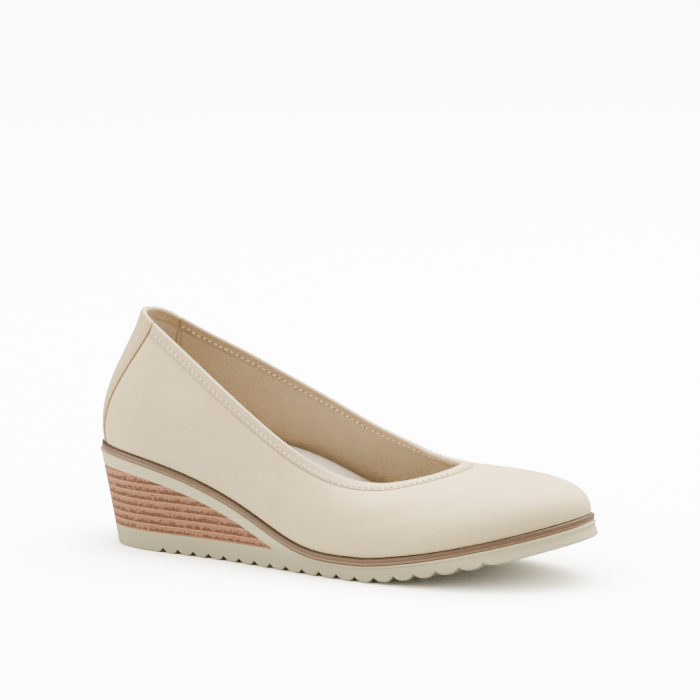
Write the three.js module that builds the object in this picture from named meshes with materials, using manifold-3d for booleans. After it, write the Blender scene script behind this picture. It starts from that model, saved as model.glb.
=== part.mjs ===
// A right court shoe on a low wedge, in millimetres: toe along +X, inner side along +Y, up +Z.
// One closed curve, the feather line, is where the upper meets the sole. A second one, the topline,
// is the edge of the opening. A rib joins them at each share of the way round, and every overlay,
// the welt, the sole and the insole are taken from the same two curves.
import * as THREE from 'three';
import Module from 'manifold-3d';

const kernel = await Module();
kernel.setup();

// driving sizes
const LAST_LENGTH = 242;
const LAST_WIDTH = 81;
const HEEL_SEAT = 47.9;
const FOREPART = 10.9;
const TOE_SPRING = 17.3;
const BACK_RISE = 63.5;
const FULLNESS = 10;
const ARCH_RISE = 7;

// upper, binding and back panel
const WALL = 1.8;
const GAP = 0.3;
const BINDING_THICKNESS = 0.7;
const BINDING_OUTSIDE = 5.9;
const BINDING_INSIDE = 5.7;
const BINDING_RECESS = 0.4;
const PANEL_THICKNESS = 0.6;
const PANEL_SEAM_RIDGE = 0.55;

// welt, sole and insole
const WELT_HEIGHT = 3.1;
const WELT_MARGIN = 1.6;
const WELT_BEVEL = 0.6;
const SOLE_MARGIN = 1.8;
const BEAD = 0.5;
const BEAD_HEIGHT = 1.1;
const HEEL_TAPER = 7.5;
const TREAD_TUCK = 0.6;
const TREAD_FLARE = 3.8;
const TREAD_EDGE = 0.9;
const BAND = 5.4;
const BAND_HEEL = 2;
const SLAB = 9.4;
const LIFT_PITCH = 3.75;
const NOTCHES = 19;
const NOTCH_DEPTH = 2.5;
const NOTCH_GROWTH = 0.0087;
const INSOLE = 5;
const INSOLE_EDGE = 2.4;
const ARCH_SUPPORT = 9.3;

// rows round the shoe from the back centre along the outer side to the toe and back along the inner
// side. along and across place the feather line, topAlong and topAcross the topline, as shares of
// the last's length and width; topRise is the height of the topline over the bed as a share of
// BACK_RISE; lowOut and highOut are the outward handles of the rib as shares of FULLNESS, lowUp and
// highUp the upward ones as shares of BACK_RISE
const COLUMNS = ['place', 'along', 'across', 'topAlong', 'topAcross', 'topRise',
  'lowOut', 'lowUp', 'highOut', 'highUp'];
const ROWS = [
  ['back centre', 0.003, -0.004, 0.078, 0.002, 1.00, 0.58, 0.35, 0.68, -0.35],
  ['outer heel corner', 0.036, -0.256, 0.099, -0.144, 0.990, 0.55, 0.34, 0.78, -0.31],
  ['outer heel side', 0.133, -0.364, 0.181, -0.225, 0.870, 0.47, 0.31, 0.64, -0.28],
  ['outer heel front', 0.268, -0.381, 0.286, -0.286, 0.732, 0.49, 0.28, 0.48, -0.25],
  ['outer waist back', 0.403, -0.427, 0.390, -0.321, 0.636, 0.50, 0.22, 0.43, -0.19],
  ['outer waist', 0.536, -0.486, 0.488, -0.330, 0.584, 0.60, 0.19, 0.51, -0.13],
  ['outer joint', 0.667, -0.507, 0.582, -0.300, 0.505, 0.60, 0.19, 0.90, -0.08],
  ['outer vamp side', 0.789, -0.474, 0.652, -0.223, 0.486, 0.40, 0.20, 1.39, -0.06],
  ['outer toe side', 0.898, -0.356, 0.701, -0.121, 0.498, 0.29, 0.25, 1.97, -0.06],
  ['outer toe corner', 0.977, -0.148, 0.730, -0.019, 0.515, 0.17, 0.29, 2.55, -0.07],
  ['inner toe corner', 1.000, 0.096, 0.736, 0.083, 0.532, 0.14, 0.31, 2.51, -0.07],
  ['inner toe side', 0.955, 0.312, 0.705, 0.164, 0.549, 0.25, 0.30, 1.91, -0.08],
  ['inner vamp side', 0.860, 0.443, 0.650, 0.232, 0.584, 0.38, 0.24, 1.34, -0.08],
  ['inner joint', 0.735, 0.490, 0.571, 0.286, 0.637, 0.60, 0.21, 0.87, -0.10],
  ['inner ball', 0.616, 0.440, 0.469, 0.323, 0.661, 0.60, 0.22, 0.49, -0.16],
  ['inner waist', 0.480, 0.357, 0.365, 0.316, 0.695, 0.51, 0.25, 0.39, -0.20],
  ['inner heel front', 0.340, 0.338, 0.258, 0.278, 0.784, 0.50, 0.28, 0.40, -0.25],
  ['inner heel side', 0.197, 0.353, 0.162, 0.215, 0.869, 0.49, 0.31, 0.51, -0.28],
  ['inner heel corner', 0.055, 0.272, 0.099, 0.129, 0.966, 0.57, 0.34, 0.64, -0.31],
];

// share of the drop from heel seat to forepart left at stations an eighth of the length apart,
// the first one an eighth behind the heel
const RAMP = [1, 0.99, 0.90, 0.70, 0.39, 0.05, 0, 0, 0, 0, 0];
const RAMP_STATIONS = 8;

const TURN = ROWS.length;
const column = name => ROWS.map(row => row[COLUMNS.indexOf(name)]);
const clamp = (v, low, high) => Math.min(high, Math.max(low, v));
const smooth = v => {
  const t = clamp(v, 0, 1);
  return t * t * (3 - 2 * t);
};
const mix = (a, b, t) => a + (b - a) * t;

// weights of a uniform cubic spline, and of its slope
const weights = t => [(1 - t) ** 3 / 6, (3 * t ** 3 - 6 * t * t + 4) / 6,
  (-3 * t ** 3 + 3 * t * t + 3 * t + 1) / 6, t ** 3 / 6];
const slopes = t => [-((1 - t) ** 2) / 2, (9 * t * t - 12 * t) / 6, (-9 * t * t + 6 * t + 3) / 6, t * t / 2];

// closed smooth curve through the values of a column
function closedSpline(values) {
  const count = values.length;
  const control = values.slice();
  for (let pass = 0; pass < 60; pass++) {
    const seen = control.map((c, i) =>
      (control[(i + count - 1) % count] + 4 * c + control[(i + 1) % count]) / 6);
    values.forEach((v, i) => { control[i] += v - seen[i]; });
  }
  return (u, kind = weights) => {
    const cell = Math.floor(u);
    const w = kind(u - cell);
    return w.reduce((sum, share, j) => sum + share * control[(((cell - 1 + j) % count) + count) % count], 0);
  };
}

// open smooth curve through equally spaced heights
function openSpline(values) {
  const last = values.length - 1;
  const control = values.slice();
  const at = i => (i < 0 ? 2 * control[0] - control[1]
    : i > last ? 2 * control[last] - control[last - 1] : control[i]);
  for (let pass = 0; pass < 60; pass++) {
    const seen = control.map((c, i) => (at(i - 1) + 4 * c + at(i + 1)) / 6);
    values.forEach((v, i) => { control[i] += v - seen[i]; });
  }
  return s => {
    const place = clamp(s, 0, last - 1e-6);
    const cell = Math.floor(place);
    return weights(place - cell).reduce((sum, share, j) => sum + share * at(cell - 1 + j), 0);
  };
}

const curve = (name, size) => closedSpline(column(name).map(v => v * size));
const along = curve('along', LAST_LENGTH);
const across = curve('across', LAST_WIDTH);
const topAlong = curve('topAlong', LAST_LENGTH);
const topAcross = curve('topAcross', LAST_WIDTH);
const topRise = curve('topRise', BACK_RISE);
const lowOut = curve('lowOut', FULLNESS);
const lowUp = curve('lowUp', BACK_RISE);
const highOut = curve('highOut', FULLNESS);
const highUp = curve('highUp', BACK_RISE);
const ramp = openSpline(RAMP);

// bump of unit height centred at a share of the length
const swell = (x, centre, spread) => Math.exp(-(((x / LAST_LENGTH - centre) / spread) ** 2));

// the ground line: flat under heel and ball, rising under the toe
const BALL_LINE = 0.631;
const ground = x => TOE_SPRING * (Math.max(0, x / LAST_LENGTH - BALL_LINE) / 0.33) ** 1.32;

// the bed the foot stands over: ground, sole and ramp, raised under the inner arch
const bed = (x, y) => ground(x) + FOREPART
  + (HEEL_SEAT - FOREPART) * ramp(x / LAST_LENGTH * RAMP_STATIONS + 1)
  + ARCH_RISE * smooth(y / LAST_WIDTH / 0.54 + 0.27) * swell(x, 0.463, 0.149);

// underside of the band that runs over the wedge
const bandUnder = (x, y) => bed(x, y) - WELT_HEIGHT - GAP - BAND
  - BAND_HEEL * Math.exp(-Math.max(0, x / LAST_LENGTH) / 0.058);

// how far the edge of the tread stands outside the feather line: tucked in behind the heel,
// flared at the toe
const treadMargin = x => TREAD_FLARE * smooth((x / LAST_LENGTH - 0.165) / 0.785) - TREAD_TUCK
  - HEEL_TAPER * Math.exp(-Math.max(0, x / LAST_LENGTH) / 0.07);

// outward direction of a closed plan curve
const outward = (fx, fy, u) => {
  const dx = fx(u, slopes);
  const dy = fy(u, slopes);
  const size = Math.hypot(dx, dy);
  return [dy / size, -dx / size];
};

// point of the plan outline, set out from the feather line by a margin
function outline(u, margin) {
  const n = outward(along, across, u);
  return [along(u) + n[0] * margin, across(u) + n[1] * margin];
}
const featherHeight = u => bed(along(u), across(u));

// point of the rib at share v of the way from the feather line to the topline
function rib(u, v) {
  const n = outward(along, across, u);
  const m = outward(topAlong, topAcross, u);
  const foot = [along(u), across(u), featherHeight(u)];
  const top = [topAlong(u), topAcross(u), bed(topAlong(u), topAcross(u)) + topRise(u)];
  const low = [foot[0] + n[0] * lowOut(u), foot[1] + n[1] * lowOut(u), foot[2] + lowUp(u)];
  const high = [top[0] + m[0] * highOut(u), top[1] + m[1] * highOut(u), top[2] + highUp(u)];
  const w = [(1 - v) ** 3, 3 * v * (1 - v) ** 2, 3 * v * v * (1 - v), v ** 3];
  return [0, 1, 2].map(k => w[0] * foot[k] + w[1] * low[k] + w[2] * high[k] + w[3] * top[k]);
}

// outward normal of the surface the ribs make
function facing(u, v) {
  const step = 1e-3;
  const a = rib(u + step, v);
  const b = rib(u - step, v);
  const c = rib(u, Math.min(1, v + step));
  const d = rib(u, Math.max(0, v - step));
  const p = new THREE.Vector3(a[0] - b[0], a[1] - b[1], a[2] - b[2]);
  const q = new THREE.Vector3(c[0] - d[0], c[1] - d[1], c[2] - d[2]);
  return p.cross(q).normalize();
}

// lengths along each rib, measured down from the topline
const RIB_STEPS = 60;
const ribTables = new Map();
function ribTable(u) {
  const key = u.toFixed(6);
  if (!ribTables.has(key)) {
    const table = [0];
    for (let i = 1; i <= RIB_STEPS; i++) {
      const a = rib(u, 1 - (i - 1) / RIB_STEPS);
      const b = rib(u, 1 - i / RIB_STEPS);
      table.push(table[i - 1] + Math.hypot(a[0] - b[0], a[1] - b[1], a[2] - b[2]));
    }
    ribTables.set(key, table);
  }
  return ribTables.get(key);
}
const ribLength = u => ribTable(u)[RIB_STEPS];

// share of the rib at a distance down from the topline
function share(u, down) {
  const table = ribTable(u);
  const s = clamp(down, 0, table[RIB_STEPS]);
  let i = 1;
  while (i < RIB_STEPS && table[i] < s) i++;
  return 1 - (i - 1 + (s - table[i - 1]) / (table[i] - table[i - 1])) / RIB_STEPS;
}

// point a distance down the rib from the topline and a depth inside its surface
function skin(u, down, depth) {
  const v = share(u, down);
  const p = rib(u, v);
  const n = facing(u, v);
  return [p[0] - n.x * depth, p[1] - n.y * depth, p[2] - n.z * depth];
}

// stations round the shoe, closer at heel and toe
const STATIONS = [];
const STEPS = [4, 3, 3, 3, 3, 3, 3, 3, 4, 4, 4, 3, 3, 3, 3, 3, 3, 3, 4];
STEPS.forEach((count, row) => {
  for (let i = 0; i < count; i++) STATIONS.push(row + i / count);
});

// closed body from vertices and triangles
function body(vertices, triangles) {
  const mesh = new kernel.Mesh({
    numProp: 3,
    vertProperties: new Float32Array(vertices.flat()),
    triVerts: new Uint32Array(triangles.flat()),
  });
  mesh.merge();
  return new kernel.Manifold(mesh);
}

// closed loops of points swept one after another, joined into a ring or closed at both ends.
// each loop is an outer path followed by the inner path backwards, so its ends close in strips
function sweep(loops, ring) {
  const size = loops[0].length;
  const vertices = loops.flat();
  const triangles = [];
  const spans = ring ? loops.length : loops.length - 1;
  for (let i = 0; i < spans; i++) {
    const next = (i + 1) % loops.length;
    for (let j = 0; j < size; j++) {
      const k = (j + 1) % size;
      const a = i * size + j;
      const b = i * size + k;
      const c = next * size + k;
      const d = next * size + j;
      triangles.push([a, c, b], [a, d, c]);
    }
  }
  if (!ring) {
    const last = (loops.length - 1) * size;
    for (let j = 0; j < size / 2 - 1; j++) {
      const p = [j, j + 1, size - 2 - j, size - 1 - j];
      triangles.push([p[0], p[1], p[2]], [p[0], p[2], p[3]]);
      triangles.push([last + p[0], last + p[2], last + p[1]], [last + p[0], last + p[3], last + p[2]]);
    }
  }
  return [vertices, triangles];
}

// closed rings of plan stations stacked from the top down, capped by strips across the shoe whose
// inner points take their height from a function of the plan
function stack(rings, topHeight, lowHeight) {
  const size = rings[0].length;
  const vertices = rings.flat();
  const triangles = [];
  for (let i = 0; i < rings.length - 1; i++) {
    for (let j = 0; j < size; j++) {
      const k = (j + 1) % size;
      const a = i * size + j;
      const b = i * size + k;
      const c = (i + 1) * size + k;
      const d = (i + 1) * size + j;
      triangles.push([a, d, c], [a, c, b]);
    }
  }
  const parts = 4;
  const cap = (start, height, flip) => {
    const rows = [];
    for (let j = 0; j <= size / 2; j++) {
      const first = start + j;
      const second = start + ((size - j) % size);
      if (first === second) {
        rows.push([first]);
        continue;
      }
      const a = vertices[first];
      const b = vertices[second];
      const row = [first];
      for (let k = 1; k < parts; k++) {
        const x = mix(a[0], b[0], k / parts);
        const y = mix(a[1], b[1], k / parts);
        row.push(vertices.length);
        vertices.push([x, y, height(x, y)]);
      }
      row.push(second);
      rows.push(row);
    }
    for (let j = 0; j < rows.length - 1; j++) {
      const a = rows[j];
      const b = rows[j + 1];
      for (let k = 0; k < parts; k++) {
        const quad = [a[Math.min(k, a.length - 1)], b[Math.min(k, b.length - 1)],
          b[Math.min(k + 1, b.length - 1)], a[Math.min(k + 1, a.length - 1)]];
        [[quad[0], quad[1], quad[2]], [quad[0], quad[2], quad[3]]].forEach(t => {
          if (new Set(t).size === 3) triangles.push(flip ? [t[0], t[2], t[1]] : t);
        });
      }
    }
  };
  cap(0, topHeight, false);
  cap((rings.length - 1) * size, lowHeight, true);
  return [vertices, triangles];
}

// place of the back panel's seam round the shoe, wider towards the top
const seam = v => 0.87 + 0.5 * v;

// depth the upper sinks under the back panel, straight between stations
const PANEL_SINK = PANEL_THICKNESS + GAP;
function backing(u, v) {
  const turn = ((u % TURN) + TURN) % TURN;
  const away = w => Math.min(w, TURN - w);
  const sink = w => PANEL_SINK * smooth((seam(v) + 0.12 - away(w)) / 0.3);
  const row = Math.min(TURN - 1, Math.floor(turn));
  const t = (turn - row) * STEPS[row];
  const cell = Math.floor(t);
  return mix(sink(row + cell / STEPS[row]), sink(row + (cell + 1) / STEPS[row]), t - cell);
}

// levels down the rib where the upper steps in for what folds over its edge
const FACE = BINDING_RECESS - GAP;
const LINING = WALL - BINDING_RECESS + GAP;
const RIM = BINDING_THICKNESS + GAP + 0.2;
const OUTER_RECESS = BINDING_OUTSIDE + GAP;
const INNER_RECESS = BINDING_INSIDE + GAP;
const RIB_ROWS = 8;

// the upper: one hollow shell, thinner where the binding folds over its edge
function upper() {
  const loops = STATIONS.map(u => {
    const length = ribLength(u);
    const foot = featherHeight(u) + GAP;
    const outer = [];
    const inner = [];
    for (let i = 0; i <= RIB_ROWS; i++) {
      const down = mix(length, OUTER_RECESS, i / RIB_ROWS);
      outer.push(skin(u, down, backing(u, share(u, down))));
      inner.push(skin(u, mix(length, INNER_RECESS, i / RIB_ROWS), WALL));
    }
    [OUTER_RECESS, mix(OUTER_RECESS, RIM, 0.5), RIM].forEach(down => {
      outer.push(skin(u, down, BINDING_RECESS));
    });
    [INNER_RECESS, mix(INNER_RECESS, RIM, 0.5), RIM].forEach(down => {
      inner.push(skin(u, down, WALL - BINDING_RECESS));
    });
    const base = outline(u, -backing(u, 0));
    const inside = outline(u, -WALL);
    outer[0] = [base[0], base[1], foot];
    inner[0] = [inside[0], inside[1], foot];
    return [...outer, ...inner.reverse()];
  });
  return body(...sweep(loops, true));
}

// section of the fold over the collar edge: pairs of [down, depth] on its outside and its inside
const FOLD = {
  outer: [[BINDING_OUTSIDE, FACE - BINDING_THICKNESS * 0.7], [BINDING_OUTSIDE * 0.35, FACE - BINDING_THICKNESS],
    [0.4, FACE - BINDING_THICKNESS * 0.3], [0, WALL / 2], [0.4, LINING + BINDING_THICKNESS * 0.4],
    [BINDING_OUTSIDE * 0.35, LINING + BINDING_THICKNESS], [BINDING_INSIDE, LINING + BINDING_THICKNESS]],
  inner: [[BINDING_OUTSIDE, FACE], [BINDING_OUTSIDE * 0.35, FACE], [RIM - GAP, FACE + 0.2],
    [RIM - GAP - 0.1, WALL / 2], [RIM - GAP, LINING - 0.2], [BINDING_OUTSIDE * 0.35, LINING],
    [BINDING_INSIDE, LINING]],
};

// the strip folded over the collar edge, from one seam of the back panel round to the other
function binding() {
  const start = seam(1) + 0.03;
  const between = STATIONS.filter(u => u > start + 0.05 && u < TURN - start - 0.05);
  const loops = [start, ...between, TURN - start].map(u =>
    [...FOLD.outer, ...FOLD.inner.slice().reverse()].map(([down, depth]) => skin(u, down, depth)));
  return body(...sweep(loops, false));
}

// the panel round the back of the heel, folded over the top edge, with a ridge along its seams
const PANEL_COLUMNS = 16;
function backPanel() {
  const loops = [];
  for (let c = 0; c <= PANEL_COLUMNS; c++) {
    const t = c / PANEL_COLUMNS * 2 - 1;
    const ridge = PANEL_SEAM_RIDGE * smooth((Math.abs(t) - 0.8) / 0.2);
    const spot = (down, depth) => {
      const u = t * seam(share(t * seam(1), down));
      return skin(u, down, typeof depth === 'function' ? depth(u, share(u, down)) : depth);
    };
    const behind = (u, v) => backing(u, v) - GAP;
    const length = ribLength(t * seam(0)) - GAP;
    const outer = [];
    const inner = [];
    for (let i = 0; i < RIB_ROWS; i++) {
      const down = mix(length, OUTER_RECESS + 1, i / (RIB_ROWS - 1));
      outer.push(spot(down, -ridge));
      inner.push(spot(down, behind));
    }
    FOLD.outer.slice(0, 3).forEach(([down, depth]) => outer.push(spot(down, depth - ridge * 0.3)));
    FOLD.outer.slice(3).forEach(([down, depth]) => outer.push(spot(down, depth)));
    FOLD.inner.forEach(([down, depth]) => inner.push(spot(down, depth)));
    loops.push([...outer, ...inner.reverse()]);
  }
  return body(...sweep(loops, false));
}

// ring of stations at a margin outside the feather line and a height over it
const ring = (margin, rise) => STATIONS.map(u => {
  const p = outline(u, margin);
  return [p[0], p[1], featherHeight(u) + rise(p[0], p[1])];
});

// the welt: a narrow strip under the edge of the upper, bevelled along its top
function welt() {
  const section = [[-WALL, 0], [WELT_MARGIN - WELT_BEVEL, 0], [WELT_MARGIN, -WELT_BEVEL],
    [WELT_MARGIN, -WELT_HEIGHT + WELT_BEVEL], [WELT_MARGIN - WELT_BEVEL / 2, -WELT_HEIGHT], [-WALL, -WELT_HEIGHT]];
  const rings = section.map(([margin, rise]) => ring(margin, () => rise));
  const loops = STATIONS.map((_, i) => rings.map(points => points[i]));
  return body(...sweep(loops.reverse(), true));
}

// the full block between welt and ground, with a bead along its top edge
const SOLE_TOP = -WELT_HEIGHT - GAP;
function block() {
  const tread = (inset, rise) => STATIONS.map(u => {
    const p = outline(u, treadMargin(along(u)) - inset);
    return [p[0], p[1], ground(p[0]) + rise];
  });
  const side = [[-WALL - GAP, 0], [SOLE_MARGIN, 0], [SOLE_MARGIN + BEAD, -BEAD * 0.8],
    [SOLE_MARGIN + BEAD, -BEAD_HEIGHT], [SOLE_MARGIN, -BEAD_HEIGHT - BEAD * 0.8]];
  const rings = side.map(([margin, drop]) => ring(margin, () => SOLE_TOP + drop));
  return body(...stack([...rings, tread(0, TREAD_EDGE), tread(TREAD_EDGE, 0)],
    (x, y) => bed(x, y) + SOLE_TOP, x => ground(x)));
}

// the space of the wedge: above a level, below the band, from behind the heel to its tip
const SPACE_ROWS = 12;
const SPACE_COLUMNS = 6;
function wedgeSpace(level, drop) {
  const vertices = [];
  const triangles = [];
  for (let j = 0; j <= SPACE_COLUMNS; j++) {
    const y = LAST_WIDTH * mix(-0.67, 0.67, j / SPACE_COLUMNS);
    let near = 0.15 * LAST_LENGTH;
    let far = 0.7 * LAST_LENGTH;
    for (let pass = 0; pass < 50; pass++) {
      const middle = (near + far) / 2;
      if (bandUnder(middle, y) - drop > level) near = middle;
      else far = middle;
    }
    for (let i = 0; i <= SPACE_ROWS; i++) {
      const x = mix(-0.1 * LAST_LENGTH, near, i / SPACE_ROWS);
      vertices.push([x, y, level], [x, y, i === SPACE_ROWS ? level : bandUnder(x, y) - drop]);
    }
  }
  const at = (j, i, high) => (j * (SPACE_ROWS + 1) + i) * 2 + (high && i < SPACE_ROWS ? 1 : 0);
  const quad = (a, b, c, d) => [[a, b, c], [a, c, d]].forEach(t => {
    if (new Set(t).size === 3) triangles.push(t);
  });
  for (let j = 0; j < SPACE_COLUMNS; j++) {
    for (let i = 0; i < SPACE_ROWS; i++) {
      quad(at(j, i, false), at(j + 1, i, false), at(j + 1, i + 1, false), at(j, i + 1, false));
      quad(at(j, i, true), at(j, i + 1, true), at(j + 1, i + 1, true), at(j + 1, i, true));
    }
    quad(at(j, 0, false), at(j, 0, true), at(j + 1, 0, true), at(j + 1, 0, false));
  }
  const end = SPACE_COLUMNS;
  for (let i = 0; i < SPACE_ROWS; i++) {
    quad(at(0, i, false), at(0, i + 1, false), at(0, i + 1, true), at(0, i, true));
    quad(at(end, i, false), at(end, i, true), at(end, i + 1, true), at(end, i + 1, false));
  }
  const used = [...new Set(triangles.flat())];
  const index = new Map(used.map((v, k) => [v, k]));
  return body(used.map(v => vertices[v]), triangles.map(t => t.map(v => index.get(v))));
}

// bar across the sole with a given side profile of [x, z] corners
function bar(corners) {
  const area = THREE.ShapeUtils.area(corners.map(([x, z]) => new THREE.Vector2(x, z)));
  const points = area > 0 ? corners : corners.slice().reverse();
  const size = points.length;
  const vertices = [-LAST_WIDTH, LAST_WIDTH].flatMap(y => points.map(([x, z]) => [x, y, z]));
  const turn = ([ax, ay], [bx, by], [cx, cy]) => (bx - ax) * (cy - ay) - (by - ay) * (cx - ax);
  const triangles = [];
  THREE.ShapeUtils.triangulateShape(points.map(([x, z]) => new THREE.Vector2(x, z)), []).forEach(([a, p, q]) => {
    const [b, c] = turn(points[a], points[p], points[q]) > 0 ? [p, q] : [q, p];
    triangles.push([a, b, c], [size + a, size + c, size + b]);
  });
  points.forEach((_, i) => {
    const k = (i + 1) % size;
    triangles.push([i, size + i, size + k], [i, size + k, k]);
  });
  return body(vertices, triangles);
}

// place of each notch of the rippled tread, from the front of the heel's flat to the toe spring;
// the spacing grows slowly forwards
const NOTCH_FIRST = 0.177 * LAST_LENGTH;
const NOTCH_LAST = 0.871 * LAST_LENGTH;
const grow = k => k * (1 + NOTCH_GROWTH * k);
const notch = k => mix(NOTCH_FIRST, NOTCH_LAST, grow(k) / grow(NOTCHES - 1));

// side of one notch: shares of the spacing and of the depth, a steep face behind the valley and a
// rounded one before it
const NOTCH_FACE = [[-0.32, 0], [0, 1], [0.14, 0.70], [0.33, 0.30], [0.54, 0]];

// the moulded sole: block less the space of the wedge and the notches of the tread
function soleUnit() {
  let solid = block().subtract(wedgeSpace(SLAB, 0));
  for (let k = 0; k < NOTCHES; k++) {
    const pitch = notch(k + 1) - notch(k);
    const face = NOTCH_FACE.map(([t, h]) => {
      const x = notch(k) + t * pitch;
      return [x, ground(x) + h * NOTCH_DEPTH];
    });
    const below = [face[4], face[0]].map(([x, z]) => [x, z - NOTCH_DEPTH]);
    solid = solid.subtract(bar([...face, ...below]));
  }
  return solid;
}

// the lifts of the stacked wedge, cut from the same block so that their edge is flush with the sole
const LIFTS = Math.round((bandUnder(0, 0) - SLAB) / LIFT_PITCH);
function lift(k) {
  const low = SLAB + LIFT_PITCH * k + GAP;
  const high = k === LIFTS - 1 ? SLAB + HEEL_SEAT : SLAB + LIFT_PITCH * (k + 1);
  const layer = bar([[-LAST_LENGTH, low - GAP], [LAST_LENGTH, low - GAP], [LAST_LENGTH, high], [-LAST_LENGTH, high]]);
  return block().intersect(wedgeSpace(low, GAP)).intersect(layer);
}

// the padded insole, raised into a support under the inner arch
function insole() {
  const margin = -WALL - GAP * 2;
  const thickness = (x, y) => INSOLE
    + ARCH_SUPPORT * smooth(y / LAST_WIDTH / 0.44 + 0.22) * swell(x, 0.42, 0.22);
  const rings = [ring(margin - INSOLE_EDGE, thickness),
    ring(margin - 0.2 * INSOLE_EDGE, (x, y) => thickness(x, y) - INSOLE_EDGE), ring(margin, () => -WELT_HEIGHT)];
  return body(...stack(rings, (x, y) => bed(x, y) + thickness(x, y), (x, y) => bed(x, y) - WELT_HEIGHT));
}

// turn a closed body into a named mesh
function meshOf(solid, name, colour, shift) {
  const data = solid.getMesh();
  const positions = new Float32Array(data.numVert * 3);
  for (let i = 0; i < data.numVert; i++) {
    for (let k = 0; k < 3; k++) positions[i * 3 + k] = data.vertProperties[i * data.numProp + k] + shift[k];
  }
  const geometry = new THREE.BufferGeometry();
  geometry.setAttribute('position', new THREE.BufferAttribute(positions, 3));
  geometry.setIndex(new THREE.BufferAttribute(new Uint32Array(data.triVerts), 1));
  geometry.computeVertexNormals();
  const mesh = new THREE.Mesh(geometry, new THREE.MeshStandardMaterial({ color: colour, roughness: 0.8 }));
  mesh.name = name;
  return mesh;
}

const pieces = [
  ['upper', upper(), 0xd8d0be],
  ['collar_binding', binding(), 0xd6c8b4],
  ['back_panel', backPanel(), 0xd2c6b0],
  ['welt', welt(), 0x8f7360],
  ['sole_unit', soleUnit(), 0xcbc6b6],
  ['insole', insole(), 0xe0dad0],
];
for (let k = 0; k < LIFTS; k++) pieces.push([`lift_${k + 1}`, lift(k), 0xc08a6c]);

const box = new THREE.Box3();
pieces.forEach(([, solid]) => {
  const { min, max } = solid.boundingBox();
  box.expandByPoint(new THREE.Vector3(...min));
  box.expandByPoint(new THREE.Vector3(...max));
});
const shift = [-(box.min.x + box.max.x) / 2, -(box.min.y + box.max.y) / 2, -box.min.z];

const shoe = new THREE.Group();
shoe.name = 'wedge_court_shoe';
pieces.forEach(([name, solid, colour]) => shoe.add(meshOf(solid, name, colour, shift)));

export default shoe;
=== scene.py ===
"""Right court shoe on a low stacked wedge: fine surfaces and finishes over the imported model."""

import bmesh
import bpy
import numpy as np
from bpy.props import FloatProperty, FloatVectorProperty, PointerProperty
from mathutils import Matrix, Vector


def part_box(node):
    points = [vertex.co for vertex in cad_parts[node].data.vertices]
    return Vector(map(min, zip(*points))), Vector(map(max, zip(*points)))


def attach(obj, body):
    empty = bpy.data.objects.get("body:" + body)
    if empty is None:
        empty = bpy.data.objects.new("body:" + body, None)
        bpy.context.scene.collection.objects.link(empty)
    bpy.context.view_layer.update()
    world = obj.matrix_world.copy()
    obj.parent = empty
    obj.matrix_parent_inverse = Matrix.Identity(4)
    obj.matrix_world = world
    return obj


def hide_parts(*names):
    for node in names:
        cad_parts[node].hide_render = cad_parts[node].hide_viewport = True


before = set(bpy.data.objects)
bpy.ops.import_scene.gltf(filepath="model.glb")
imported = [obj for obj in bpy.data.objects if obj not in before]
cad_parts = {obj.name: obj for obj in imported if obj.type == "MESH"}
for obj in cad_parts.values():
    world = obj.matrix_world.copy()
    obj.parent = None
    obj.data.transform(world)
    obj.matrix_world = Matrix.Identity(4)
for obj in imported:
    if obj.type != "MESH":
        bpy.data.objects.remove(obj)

bl_info = {
    "name": "Wedge Court Shoe",
    "version": (1, 0, 0),
    "blender": (4, 5, 0),
    "location": "View3D > Sidebar > Shoe",
    "description": "Builds the pieces and finishes of a right wedge court shoe",
    "category": "Object",
}

# Sizes of the last and of the pieces, in millimetres

LAST_LENGTH = 242.0
LAST_WIDTH = 81.0
HEEL_SEAT = 47.9
FOREPART = 10.9
TOE_SPRING = 17.3
BACK_RISE = 63.5
FULLNESS = 10.0
ARCH_RISE = 7.0
WALL = 1.8
GAP = 0.3
BINDING_OUTSIDE = 5.9
BINDING_RECESS = 0.4
PANEL_SINK = 0.9
WELT_HEIGHT = 3.1
SOLE_MARGIN = 1.8
BEAD = 0.5
BEAD_HEIGHT = 1.1
SOLE_TOP = -WELT_HEIGHT - GAP
TREAD_TUCK = 0.6
TREAD_FLARE = 3.8
TREAD_EDGE = 0.9
HEEL_TAPER = 7.5
BAND = 5.4
BAND_HEEL = 2.0
SLAB = 9.4
LIFT_PITCH = 3.75
LIFTS = 7
NOTCHES = 19
NOTCH_GROWTH = 0.0087
INSOLE = 5.0
ARCH_SUPPORT = 9.3
BALL_LINE = 0.631

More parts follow.
